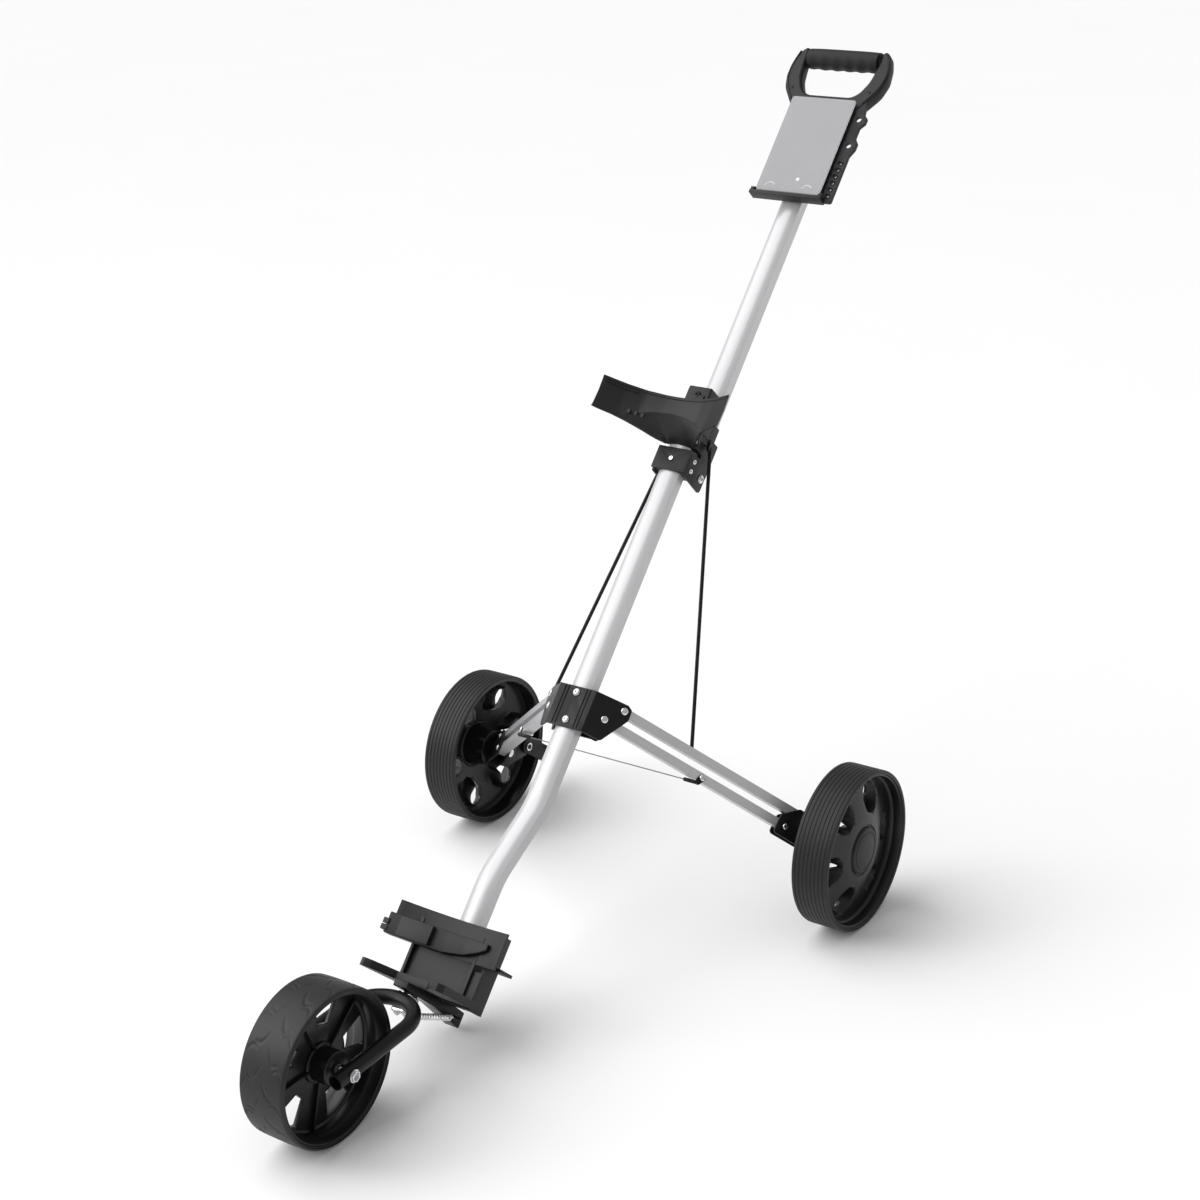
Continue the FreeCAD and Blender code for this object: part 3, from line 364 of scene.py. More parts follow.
def finish(name):
    """The material of one finish, made on first use."""
    makers = {
        "tube_coat": tube_coat,
        "satin_bar": bar_metal,
        "moulding": lambda: moulded("moulding", colours().plastic, 0.46, 650, 0.00007),
        "soft_grip": lambda: moulded("soft_grip", shaded(colours().plastic, 1.25), 0.58, 900, 0.00009, 1.6),
        "wheel_moulding": lambda: moulded("wheel_moulding", colours().rim, 0.3, 420, 0.00003, 3.0),
        "coated_steel": coated_steel,
        "plated": lambda: bright_steel("plated", 0.24, (1, 1, 1)),
        "bolt_head": lambda: bright_steel("bolt_head", 0.16, (3, 1, 1)),
        "tyre_tread": tyre_tread,
        "wire_strands": wire_strands,
        "clear_card": clear_card,
        "clear_edge_painted_highlight": clear_edge_painted_highlight,
        "studio_floor": studio_floor,
    }
    if name not in FINISHES:
        FINISHES[name] = makers[name]()
    return FINISHES[name]


# ---- mesh kit, drawn in millimetres in a local frame ----

def mesh_of(bm):
    mesh = bpy.data.meshes.new("shape")
    bmesh.ops.recalc_face_normals(bm, faces=bm.faces)
    bm.to_mesh(mesh)
    bm.free()
    return mesh


def lathe(profile, steps=96):
    """A ring or solid turned about Z from a closed outline of (radius, z)."""
    bm = bmesh.new()
    rings = []
    for radius, z in profile:
        if radius < 1e-6:
            rings.append([bm.verts.new((0, 0, z))])
        else:
            rings.append([bm.verts.new((radius * math.cos(a), radius * math.sin(a), z))
                          for a in (2 * math.pi * i / steps for i in range(steps))])
    for here, there in zip(rings, rings[1:] + rings[:1]):
        for i in range(steps):
            corners = [here[i % len(here)], here[(i + 1) % len(here)],
                       there[(i + 1) % len(there)], there[i % len(there)]]
            distinct = list(dict.fromkeys(corners))
            if len(distinct) > 2:
                bm.faces.new(distinct)
    return mesh_of(bm)


def closed_grid(front, back, around=False):
    """A closed shell between two grids of points; around joins each row's last point to its first."""
    bm = bmesh.new()
    sheets = [[[bm.verts.new(point) for point in row] for row in grid] for grid in (front, back)]
    rows, columns = len(front), len(front[0])
    span = columns if around else columns - 1
    for sheet, flip in zip(sheets, (False, True)):
        for i in range(rows - 1):
            for j in range(span):
                k = (j + 1) % columns
                corners = [sheet[i][j], sheet[i][k], sheet[i + 1][k], sheet[i + 1][j]]
                bm.faces.new(corners[::-1] if flip else corners)
    for i in (0, rows - 1):
        for j in range(span):
            k = (j + 1) % columns
            bm.faces.new((sheets[0][i][j], sheets[0][i][k], sheets[1][i][k], sheets[1][i][j]))
    if not around:
        for j in (0, columns - 1):
            for i in range(rows - 1):
                bm.faces.new((sheets[0][i][j], sheets[0][i + 1][j], sheets[1][i + 1][j], sheets[1][i][j]))
    return mesh_of(bm)


def rounded(corners, radius, steps=5):
    """The outline with each corner replaced by a short arc."""
    points = []
    count = len(corners)
    for i, corner in enumerate(corners):
        here = Vector(corner)
        before, after = Vector(corners[i - 1]) - here, Vector(corners[(i + 1) % count]) - here
        reach = min(radius, before.length * 0.45, after.length * 0.45)
        start, end = here + before.normalized() * reach, here + after.normalized() * reach
        for k in range(steps + 1):
            t = k / steps
            points.append(tuple(start * (1 - t) ** 2 + here * (2 * t * (1 - t)) + end * t ** 2))
    return points


def ring_points(x, y, radius, steps=32):
    return [(x + radius * math.cos(2 * math.pi * i / steps), y + radius * math.sin(2 * math.pi * i / steps))
            for i in range(steps)]


def curve_mesh(curve):
    holder = bpy.data.objects.new("drawn", curve)
    bpy.context.scene.collection.objects.link(holder)
    mesh = bpy.data.meshes.new_from_object(holder.evaluated_get(bpy.context.evaluated_depsgraph_get()))
    bpy.data.objects.remove(holder)
    bpy.data.curves.remove(curve)
    return mesh


def slab(outline, thickness, edge=0.6, holes=()):
    """A plate from z 0 to its thickness with rounded edges, pierced by the given outlines."""
    curve = bpy.data.curves.new("slab", "CURVE")
    curve.dimensions = "2D"
    curve.fill_mode = "BOTH"
    curve.extrude = thickness / 2 - edge
    curve.bevel_depth = edge
    curve.bevel_resolution = 2
    curve.offset = -edge
    for loop in (outline, *holes):
        spline = curve.splines.new("POLY")
        spline.points.add(len(loop) - 1)
        for point, (x, y) in zip(spline.points, loop):
            point.co = (x, y, 0, 1)
        spline.use_cyclic_u = True
    mesh = curve_mesh(curve)
    mesh.transform(shift(0, 0, thickness / 2))
    return mesh


def rod(points, radius, sides=6, cyclic=False, smooth=False):
    """A round bar or wire along a line of points, with closed ends."""
    curve = bpy.data.curves.new("rod", "CURVE")
    curve.dimensions = "3D"
    curve.bevel_depth = radius
    curve.bevel_resolution = sides
    curve.use_fill_caps = True
    spline = curve.splines.new("NURBS" if smooth else "POLY")
    spline.points.add(len(points) - 1)
    for point, place in zip(spline.points, points):
        point.co = (*place, 1)
    if smooth:
        spline.order_u = 3
        spline.use_endpoint_u = True
    spline.use_cyclic_u = cyclic
    return curve_mesh(curve)


def rounded_block(low, high, edge=1.0, segments=3):
    bm = bmesh.new()
    bmesh.ops.create_cube(bm, size=1)
    size, middle = Vector(high) - Vector(low), (Vector(high) + Vector(low)) / 2
    for vert in bm.verts:
        vert.co = Vector([a * b for a, b in zip(vert.co, size)]) + middle
    bmesh.ops.bevel(bm, geom=bm.edges[:], offset=edge, segments=segments, profile=0.5, affect="EDGES")
    return mesh_of(bm)


def moved_mesh(mesh, matrix):
    mesh.transform(matrix)
    if matrix.determinant() < 0:
        mesh.flip_normals()
    return mesh


def joined(*meshes):
    bm = bmesh.new()
    for mesh in meshes:
        bm.from_mesh(mesh)
    whole = bpy.data.meshes.new("joined")
    bm.to_mesh(whole)
    bm.free()
    return whole


def worked(mesh, *steps):
    """The mesh after modifiers, each given as (type, settings)."""
    holder = bpy.data.objects.new("worked", mesh)
    bpy.context.scene.collection.objects.link(holder)
    for kind, settings in steps:
        modifier = holder.modifiers.new(kind, kind)
        for name, value in settings.items():
            setattr(modifier, name, value)
    bpy.context.view_layer.update()
    result = bpy.data.meshes.new_from_object(holder.evaluated_get(bpy.context.evaluated_depsgraph_get()))
    bpy.data.objects.remove(holder)
    return result


def carved(mesh, *tools):
    """The mesh with other closed meshes cut away."""
    for tool in tools:
        cutter = bpy.data.objects.new("cutter", tool)
        bpy.context.scene.collection.objects.link(cutter)
        mesh = worked(mesh, ("BOOLEAN", {"operation": "DIFFERENCE", "object": cutter, "solver": "EXACT"}))
        bpy.data.objects.remove(cutter)
    return mesh


def bevelled(mesh, width, segments=2, angle=35):
    return worked(mesh, ("BEVEL", {"width": width, "segments": segments, "limit_method": "ANGLE",
                                   "angle_limit": math.radians(angle), "harden_normals": False}))


def softened(node, width=None, segments=2):
    """A copy of a node's own solid with its sharp edges rounded, in millimetres."""
    mesh = frame["nodes"][node].data.copy()
    mesh.transform(Matrix.Scale(1000, 4))
    bm = bmesh.new()
    bm.from_mesh(mesh)
    bmesh.ops.remove_doubles(bm, verts=bm.verts, dist=0.002)
    bmesh.ops.dissolve_limit(bm, angle_limit=math.radians(1), verts=bm.verts, edges=bm.edges)
    bm.to_mesh(mesh)
    bm.free()
    return bevelled(mesh, width or sizes().edge * 1000, segments)


def apply_finish(mesh, material):
    mesh.materials.clear()
    mesh.materials.append(finish(material))


def settle(name, mesh, local, body, material, nodes=(), smooth_angle=35):
    """Set a mesh in its place with its finish; a piece without a body is left without a parent, and its maker
    bakes its transform.
    """
    moved_mesh(mesh, TO_METRES @ local)
    apply_finish(mesh, material)
    mesh.shade_smooth()
    if smooth_angle:
        mesh.set_sharp_from_angle(angle=math.radians(smooth_angle))
    piece = bpy.data.objects.new(name, mesh)
    bpy.context.scene.collection.objects.link(piece)
    if body:
        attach(piece, body)
    if nodes:
        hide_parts(*nodes)
    return piece


def eased(name, node, body, material, edge, segments=2):
    """A node's own shape with its edges rounded, in place of the node."""
    settle(name, softened(node, edge, segments), IN_PLACE, body, material, [node])


def both_sides(name, mesh, local, body, material, nodes=()):
    """The same piece on the right and, mirrored, on the left."""
    for side, flip in SIDES:
        settle(f"{side}_{name}_look", mesh.copy(), flip @ local, f"{side}_{body}", material,
               [f"{side}_{node}" for node in nodes])


def paint(material, *nodes):
    """Give carried-over nodes a finish."""
    for node in nodes:
        apply_finish(frame["nodes"][node].data, material)


def button_bolt(head=5.2, tall=2.8, shank=0.0, socket=1.9):
    """A domed bolt head on z 0 with a hexagon socket, and a shank below it."""
    dome = [(head * math.cos(a), tall * (0.25 + 0.75 * math.sin(a)))
            for a in (math.radians(d) for d in (0, 18, 36, 54, 68))]
    lip = [(socket * 1.5, tall), (socket * 1.25, tall * 0.96), (socket * 1.1, tall * 0.4), (0, tall * 0.35)]
    floor = [(0, -shank), (head * 0.55, -shank), (head * 0.55, 0)] if shank else [(0, 0)]
    return lathe([*floor, (head, 0), *dome, *lip], 24)


def hex_nut(across, tall, bore):
    """A hexagon nut on z 0 with chamfered corners."""
    corners = [(across / 1.732 * math.cos(math.pi / 3 * i), across / 1.732 * math.sin(math.pi / 3 * i))
               for i in range(6)]
    return slab(corners, tall, 0.5, [ring_points(0, 0, bore, 20)])


def side_bolts(x, b, u, *bolt):
    """A bolt head on each side of the tube, x from its middle."""
    return [moved_mesh(button_bolt(*bolt), shift(side * x, b, u) @ spin("Y", 90 * side)) for side in (1, -1)]


def crossbar(half, radius, b=0, u=0):
    """A round bar across the tube."""
    return moved_mesh(rod([(0, 0, -half), (0, 0, half)], radius), shift(0, b, u) @ spin("Y", 90))


# ---- stage and camera -------------------------------------------------------

CAMERA_TURN, CAMERA_RISE, CAMERA_ROLL = 35.83, 23.22, -3.16
CAMERA_AT = Vector((1571.5, -2287.7, 1592.5))
LENS = 68.41
FLOOR_REACH = 14
WORLD_LIGHT = 0.5
SUN_LIGHT, SUN_SPREAD, SUN_FROM = 2.25, 70, (-0.75, -0.3, 1)
KEY_WATTS, KEY_SIZE, KEY_AT, KEY_AIM = 30, (1.2, 2.2), (-2.6, -2.4, 2.2), (0, -0.1, 0.5)


def camera_axes():
    turn, rise, roll = (math.radians(v) for v in (CAMERA_TURN, CAMERA_RISE, CAMERA_ROLL))
    back = Vector((math.sin(turn) * math.cos(rise), -math.cos(turn) * math.cos(rise), math.sin(rise)))
    right = Vector((math.cos(turn), math.sin(turn), 0))
    up = back.cross(right)
    level, tilt = math.cos(roll), math.sin(roll)
    return right * level + up * tilt, up * level - right * tilt, back


def hang(context, light, turn, place=(0, 0, 0)):
    lamp = bpy.data.objects.new(light.name, light)
    lamp.location = place
    lamp.rotation_euler = turn.to_euler()
    context.scene.collection.objects.link(lamp)


class TROLLEY_OT_stage(bpy.types.Operator):
    """Camera, pale floor and soft studio light"""
    bl_idname = "trolley.stage"
    bl_label = "Stage"

    def execute(self, context):
        right, up, back = camera_axes()
        turn = Matrix((right, up, back)).transposed().to_4x4()
        camera = bpy.data.objects.new("camera", bpy.data.cameras.new("camera"))
        camera.data.lens = LENS
        camera.data.clip_end = 60
        camera.matrix_world = Matrix.Translation((CAMERA_AT + Vector((0, AXLE_Y, 0))) * 0.001) @ turn
        context.scene.collection.objects.link(camera)
        context.scene.camera = camera
        mesh = bpy.data.meshes.new("floor")
        corners = [(x * FLOOR_REACH, y * FLOOR_REACH, 0) for x, y in ((-1, -1), (1, -1), (1, 1), (-1, 1))]
        mesh.from_pydata(corners, [], [(0, 1, 2, 3)])
        mesh.materials.append(finish("studio_floor"))
        floor = bpy.data.objects.new("floor", mesh)
        context.scene.collection.objects.link(floor)
        world = bpy.data.worlds.new("studio")
        world.use_nodes = True
        world.node_tree.nodes["Background"].inputs["Color"].default_value = (1, 1, 1, 1)
        world.node_tree.nodes["Background"].inputs["Strength"].default_value = WORLD_LIGHT
        context.scene.world = world
        context.scene.view_settings.view_transform = "Standard"
        sun = bpy.data.lights.new("ceiling", "SUN")
        sun.energy = SUN_LIGHT
        sun.angle = math.radians(SUN_SPREAD)
        hang(context, sun, Vector(SUN_FROM).to_track_quat("Z", "Y"))
        key = bpy.data.lights.new("key", "AREA")
        key.shape = "RECTANGLE"
        key.size, key.size_y = KEY_SIZE
        key.energy = KEY_WATTS
        hang(context, key, (Vector(KEY_AIM) - Vector(KEY_AT)).to_track_quat("-Z", "Y"), KEY_AT)
        return {"FINISHED"}


# ---- tubes and the joint between them ---------------------------------------

COLLAR_HALF, YOKE_HALF = 25.5, 21.5


class TROLLEY_OT_tubes(bpy.types.Operator):
    """The leaning tubes and the clamp, yoke and pin that join them"""
    bl_idname = "trolley.tubes"
    bl_label = "Tubes and fold joint"

    def execute(self, context):
        paint("tube_coat", "lower_tube", "upper_tube")
        eased("tube_plug_look", "lower_tube_plug", "frame", "moulding", 0.5)
        eased("fold_collar_look", "fold_collar", "frame", "moulding", 0.8, 3)
        eased("hinge_yoke_look", "hinge_yoke", "handle", "moulding", 1.0, 3)
        behind, up = FOLD_PIN.yz
        pin = crossbar(COLLAR_HALF, 4, behind, up)
        settle("fold_pin_look", joined(pin, *side_bolts(COLLAR_HALF, behind, up, 6, 2.8)), TUBE, "frame",
               "bolt_head", ["fold_pin"])
        screws = [screw for u in (46.6, 60.4) for screw in side_bolts(COLLAR_HALF, 0, u, 3.4, 2.0)]
        rivet = moved_mesh(button_bolt(2.2, 1.4, 2), shift(0, -15.7, 54) @ FACING)
        settle("collar_screws_look", joined(rivet, *screws), TUBE, "frame", "bolt_head",
               ["collar_screws"])
        bolts = []
        for b, u in ((-4, 88), (32, 92)):
            bolts += side_bolts(YOKE_HALF, b, u, 3.4, 1.4)
            bolts.append(crossbar(YOKE_HALF, 2.9, b, u))
        settle("yoke_bolts_look", joined(*bolts), TUBE, "handle", "bolt_head", ["yoke_bolts"])
        paint("plated", "stay_pins")
        return {"FINISHED"}


# ---- bag supports -----------------------------------------------------------

CRADLE_HALF, CRADLE_TOP, CRADLE_FOOT = 97, 123.5, 76


def saddle_front(x):
    """How far behind the tube's centre line the cradle's top edge lies at x."""
    return float(np.interp(abs(x), (0, 14, 43, 68, 98), (-58, -58.5, -64, -75, -94)))


def saddle_foot(x):
    return float(np.interp(abs(x), (0, 15, 21, 34, 45, 60, 74, 98),
                           (-13.5, -13.5, -9, -22, -42, -64, -79, -97)))


def cradle_rows(columns=49):
    """The cradle's front face from its top edge, over the ridge, to the tube."""
    rows = []
    for share in (0, 0.12, 0.5, 0.86, 1.0, 1.08, 1.35, 1.7, 2.0):
        row = []
        for j in range(columns):
            x = -CRADLE_HALF + 2 * CRADLE_HALF * j / (columns - 1)
            ridge = 78 + 20 * max(0.0, 1 - (x / 62) ** 2)
            top, low = saddle_front(x), saddle_foot(x)
            if share <= 1:
                row.append((x, top + 1.5 * math.sin(math.pi * share),
                            CRADLE_TOP + (ridge - CRADLE_TOP) * share))
            else:
                t = share - 1
                ease = t * t * (3 - 2 * t) * 0.35 + t * 0.65
                row.append((x * (1 - 0.12 * t * (1 - abs(x) / CRADLE_HALF)), top + (low - top) * ease,
                            ridge + (CRADLE_FOOT - ridge) * t))
        rows.append(row)
    return rows


BAND_TOP = -632


class TROLLEY_OT_bag_supports(bpy.types.Operator):
    """The upper cradle and the lower bracket that the bag rests in"""
    bl_idname = "trolley.bag_supports"
    bl_label = "Bag supports"

    def execute(self, context):
        front = cradle_rows()
        back = [[(x * 0.985, b + 3.6, u - (1.5 if i == 0 else 0)) for x, b, u in row]
                for i, row in enumerate(front)]
        shell = bevelled(closed_grid(front, back), 0.9, 3, 50)
        lip = rod([(x, saddle_front(x) + 1.4, 120.5) for x in np.linspace(-94, 94, 40)], 2.0, 4)
        foot_lips = [rod([(x, saddle_foot(x) + 2.4, 77.5) for x in np.linspace(start, start + 70, 20)], 1.7, 4)
                     for start in (-92, 22)]
        webs = [closed_grid(*[[[(side * x + k * 1.3, b, u) for x, b in ((18, -10), (18, 16))]
                               for u in (80, 100, 120)] for k in (-1, 1)]) for side in (1, -1)]
        wings = []
        for side in (1, -1):
            wing = slab(rounded([(17, -12), (17, 17), (46, -30), (62, -62), (52, -60), (30, -44)], 2), 3, 0.5)
            wings.append(moved_mesh(wing, Matrix.Diagonal((side, 1, 1, 1)) @ shift(0, 0, 113)))
        strap = rounded_block((-18, -14, 112), (18, 19, 163), 2.4)
        strap_top = rounded_block((-12, -16, 126), (12, -12, 150), 1.2)
        collar = rounded_block((-19.5, 15, 84), (19.5, 39.5, 128), 2)
        ribs = [rounded_block((x - 0.9, -20, 100), (x + 0.9, 12, 118), 0.4) for x in (-24, 24)]
        tabs = [rounded_block((x, saddle_front(x) - 1.6, 84), (x + 5, saddle_front(x) + 1, 90), 0.7)
                for x in (-56, -47, -38)]
        recess = rod([(x, saddle_front(x) - 0.2, 116) for x in np.linspace(-92, -52, 12)], 1.1, 3)
        cradle = joined(shell, lip, *foot_lips, *webs, *wings, strap, strap_top, collar, *ribs, *tabs, recess)
        settle("upper_cradle_look", cradle, TUBE, "handle", "moulding", ["upper_bag_cradle"])
        bolt = moved_mesh(button_bolt(5.2, 2.6, 10), shift(0, -14, 150) @ FACING)
        rear = moved_mesh(button_bolt(5.2, 1.6, 4), shift(0, 44, 150) @ spin("X", -90))
        settle("cradle_bolt_look", joined(bolt, rear), TUBE, "handle", "coated_steel",
               ["cradle_bolt"])
        eased("lower_bracket_look", "lower_bag_bracket", "frame", "moulding", 1.0, 3)
        across = np.linspace(-84, 61, 40)
        face = np.interp(across, (-84, -40, 0, 30, 50, 61), (-89.5, -83, -78.5, -77, -78, -79))
        foot = np.interp(across, (-84, 0, 30, 50, 61), (-659, -659, -654, -646, -640))
        outer = [[(x, b, BAND_TOP + share * (low - BAND_TOP)) for x, b, low in zip(across, face, foot)]
                 for share in (0, 0.5, 1)]
        inner = [[(x, b + 13, u) for x, b, u in row] for row in outer]
        steps = [rounded_block((-88 - k, -92 + k, -640 - 8 * k), (-80, -78, -633 - 8 * k), 0.6)
                 for k in (1, 2)]
        ell = slab(rounded([(10, 699), (40, 699), (40, 666), (62, 666), (62, 712), (10, 712)], 1.5), 2.4, 0.5)
        ell = moved_mesh(ell, shift(0, -66, 0) @ spin("X", -90) @ Matrix.Diagonal((1, 1, -1, 1)))
        band = bevelled(closed_grid(outer, inner), 1.2, 3, 50)
        settle("lower_bracket_band", joined(band, *steps, ell), TUBE, "frame", "moulding")
        through = [crossbar(21, 3, -35, -645), *side_bolts(21, -35, -645)]
        settle("bracket_bolt_look", joined(*through), TUBE, "frame", "bolt_head",
               ["bracket_bolt"])
        return {"FINISHED"}


# ---- handle -----------------------------------------------------------------

GRIP_BEHIND, GRIP_UP, GRIP_HALF, GRIP_RADIUS = 16, 699, 55, 14.9
GRIP_BORE, GRIP_POINTS, FINGER_PITCH = 0.57, 40, 19.5
TEE_HOLES, TEE_PITCH = 6, 10.4
CARD_LOW, CARD_HIGH, CARD_HALF = 476, 628, 50


def card_outline(inset=0.0):
    half, low, high = CARD_HALF - inset, CARD_LOW + inset, CARD_HIGH - inset
    return rounded([(-half, low), (half, low), (half, high), (-half, high)], 4)


class TROLLEY_OT_handle(bpy.types.Operator):
    """The D-shaped handle, its finger grip and the scorecard holder"""
    bl_idname = "trolley.handle"
    bl_label = "Handle and scorecard"

    def execute(self, context):
        half = [(24, 600), (44, 604), (57, 622), (74, 646), (79.5, 668), (76, 692), (70, 708), (63, 714),
                (57, 711), (57, 686), (54, 664), (45, 645), (34, 637)]
        loop = slab(rounded(half + [(-x, u) for x, u in half[::-1]], 6), 18, 4)
        neck = rounded_block((-23, 14.5, 596), (23, 47.5, 633), 3)
        core = moved_mesh(lathe([(0, -58), (8, -58), (8, 58), (0, 58)], 32),
                          shift(0, GRIP_BEHIND, GRIP_UP) @ spin("Y", 90))
        ridge = rod([(70, 8.6, 706), (75, 8.6, 688), (76, 8.6, 668), (70, 8.6, 648), (56, 8.6, 628)], 1.6, 3,
                    smooth=True)
        ridge_left = moved_mesh(ridge.copy(), MIRROR)
        moved_mesh(loop, shift(0, 26, 0) @ FACING)
        settle("handle_frame_look", joined(loop, neck, core, ridge, ridge_left), TUBE, "handle", "moulding",
               ["handle_frame"])
        wave = sizes().finger_wave * 1000
        rows = []
        for x in np.linspace(-GRIP_HALF, GRIP_HALF, 89):
            taper = 1 - 0.05 * (abs(x) / GRIP_HALF) ** 4
            row = []
            for i in range(GRIP_POINTS):
                a = 2 * math.pi * i / GRIP_POINTS
                under = max(0.0, -math.sin(a)) ** 1.5
                dip = under * wave * (0.5 + 0.5 * math.cos(2 * math.pi * (x + 2) / FINGER_PITCH))
                radius = GRIP_RADIUS * taper - dip
                row.append((x, GRIP_BEHIND + radius * math.cos(a), GRIP_UP + radius * math.sin(a)))
            rows.append(row)
        inner = [[(x, GRIP_BEHIND + (b - GRIP_BEHIND) * GRIP_BORE, GRIP_UP + (u - GRIP_UP) * GRIP_BORE)
                  for x, b, u in row] for row in rows]
        settle("handle_grip_look", closed_grid(rows, inner, around=True), TUBE, "handle", "soft_grip",
               ["handle_grip"], 60)
        eased("holder_look", "scorecard_holder", "handle", "moulding", 0.7)
        rings = []
        for i in range(TEE_HOLES):
            ring = lathe([(2.7, 0), (4.4, 0), (4.2, 0.7), (3.6, 0.9), (2.8, 0.4)], 28)
            rings.append(moved_mesh(ring, shift(59, 9, 480 + TEE_PITCH * i) @ FACING))
        settle("tee_rings", joined(*rings), TUBE, "handle", "wheel_moulding")
        card = slab(card_outline(), 2.2, 0.3)
        settle("card_cover_look", card, TUBE @ shift(0, 4, 0) @ FACING, "cover", "clear_card",
               ["scorecard_cover"])
        # The rim, dot and arcs below carry a near-white painted highlight of the clear cover's edges.
        rim = rod([(x, 2.9, u) for x, u in card_outline(0.6)], 0.95, 3, cyclic=True)
        arcs = []
        for middle in (-30, 28):
            arcs.append(rod([(middle + 8 * math.cos(a), 1.9, 480 + 9 * math.sin(a))
                             for a in np.linspace(math.radians(35), math.radians(165), 12)], 0.5, 2))
        dot = moved_mesh(lathe([(0, 0), (2.6, 0), (2.4, 0.3), (0, 0.4)], 20), shift(9, 1.8, 497) @ FACING)
        settle("card_cover_edge", joined(rim, dot, *arcs), TUBE, "cover", "clear_edge_painted_highlight")
        screws = [moved_mesh(button_bolt(2.4, 1.0, 0, 1.2), shift(x, 8.4, 646) @ FACING) for x in (-61, 61)]
        settle("handle_screws", joined(*screws), TUBE, "handle", "coated_steel")
        return {"FINISHED"}


# ---- legs, plates, stays and wire -------------------------------------------

BAR_LENGTH = 279.6
FERRULE_END = (147, -9.2, -0.1)
STRANDS, WIRE_TWISTS, WIRE_POINTS = 3, 26, 90


class TROLLEY_OT_legs(bpy.types.Operator):
    """The leg plates, bars, wheel brackets, stay rods and wire rope"""
    bl_idname = "trolley.legs"
    bl_label = "Legs"

    def execute(self, context):
        for node in ("front_leg_plate", "rear_leg_plate"):
            eased(f"{node}_look", node, "frame", "coated_steel", 0.5, 3)
        bends = [rod([(x, -15.2, -278), (x, -15.2, -331)], 0.9, 3) for x in (-19, -14, 14, 19)]
        settle("plate_bends", joined(*bends), TUBE, "frame", "coated_steel")
        heads = [moved_mesh(button_bolt(shank=26), shift(0, -15, u) @ FACING) for u in (-285, -323)]
        settle("plate_bolts_look", joined(*heads), TUBE, "frame", "bolt_head", ["plate_bolts"])
        pivots = []
        for place in (UPPER_PIVOT, LOWER_PIVOT):
            pivots.append(moved_mesh(button_bolt(5.0, 2.8, 18), shift(*place)))
            pivots.append(moved_mesh(hex_nut(8, 2.8, 0.4), shift(*place) @ shift(0, 0, -21)))
        for side, flip in SIDES:
            settle(f"{side}_leg_pivots_look", joined(*pivots), flip @ WING, "frame", "bolt_head",
                   [f"{side}_leg_pivots"])
        paint("satin_bar", "right_upper_bar", "left_upper_bar", "right_lower_bar", "left_lower_bar")
        both_sides("wheel_bracket", softened("right_wheel_bracket", 0.6, 3), IN_PLACE, "wheel_carrier",
                   "coated_steel", ["wheel_bracket"])
        bolts = []
        for pivot in (IN_PLACE, LEG.inverted() @ UPPER_LEG):
            for z, flip in ((-0.3, 0), (-17.9, 180)):
                place = pivot @ shift(BAR_LENGTH, 0, z) @ spin("X", flip)
                bolts.append(moved_mesh(button_bolt(4.0, 2.0), place))
        both_sides("bracket_bolts", joined(*bolts), LEG, "wheel_carrier", "bolt_head",
                   ["bracket_bolts"])
        paint("plated", "right_axle", "left_axle")
        paint("coated_steel", "right_stay_rod", "left_stay_rod")
        ferrule_end = LEG @ Vector(FERRULE_END)
        ferrule = moved_mesh(lathe([(0, 0), (1.9, 0), (2.6, 1), (2.6, 19.6), (2.2, 20.6), (0, 20.6)], 24),
                             LEG.inverted() @ Matrix.Translation(ferrule_end) @ spin("Y", -90))
        eye = rounded([(145, -11.5), (150, -11.5), (155, -2), (154, 3), (147, 3), (144, -4)], 2)
        eye = moved_mesh(slab(eye, 1.4), shift(0, 0, -3.1))
        both_sides("wire_ferrule", joined(ferrule, eye), LEG, "lower_leg", "coated_steel",
                   ["wire_anchor"])
        bolt = moved_mesh(button_bolt(4.2, 2.4, 18), shift(151, 0, -1.8))
        nut = moved_mesh(hex_nut(7, 3, 0.4), shift(151, 0, -18.3))
        both_sides("wire_bolt", joined(bolt, nut), LEG, "lower_leg", "bolt_head")
        for side in ("right", "left"):
            low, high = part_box(f"{side}_spread_wire")
            middle_y, middle_z = (low.y + high.y) / 2, (low.z + high.z) / 2
            radius = sizes().wire_radius * 1000
            strands = []
            for phase in range(STRANDS):
                line = []
                for i in range(WIRE_POINTS):
                    t = i / (WIRE_POINTS - 1)
                    a = 2 * math.pi * (t * WIRE_TWISTS + phase / STRANDS)
                    line.append((low.x * 1000 + (high.x - low.x) * 1000 * t,
                                 middle_y * 1000 + radius * 0.45 * math.cos(a),
                                 middle_z * 1000 + radius * 0.45 * math.sin(a)))
                strands.append(rod(line, radius * 0.52, 2))
            wire = settle(f"{side}_wire_look", joined(*strands), IN_PLACE, None, "wire_strands",
                          [f"{side}_spread_wire"], None)
            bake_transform(wire)
        return {"FINISHED"}


# ---- wheels -----------------------------------------------------------------

REAR_IN = -8
REAR_CROWN = 108
REAR_WINDOWS, WINDOW_PITCH = 6, 60
WELL_CIRCLE, WELL_RADIUS, WELL_FLOOR = 71, 21, 17


def rear_tyre():
    """The rear tyre with fine grooves round its tread."""
    depth, count = sizes().groove_depth * 1000, sizes().grooves
    crown = []
    for i in range(count):
        z = REAR_IN + 6 + (REAR_OUT - REAR_IN - 12) * i / (count - 1)
        crown += [(REAR_CROWN, z - 1.5), (REAR_CROWN - depth, z - 0.8), (REAR_CROWN - depth, z + 0.8),
                  (REAR_CROWN, z + 1.5)]
    return lathe([(104, REAR_IN + 0.3), (106, REAR_IN), (107.3, REAR_IN + 0.8), (107.8, REAR_IN + 2), *crown,
                  (107.8, REAR_OUT - 2), (107.3, REAR_OUT - 0.8), (106, REAR_OUT), (104, REAR_OUT - 0.3)], 144)


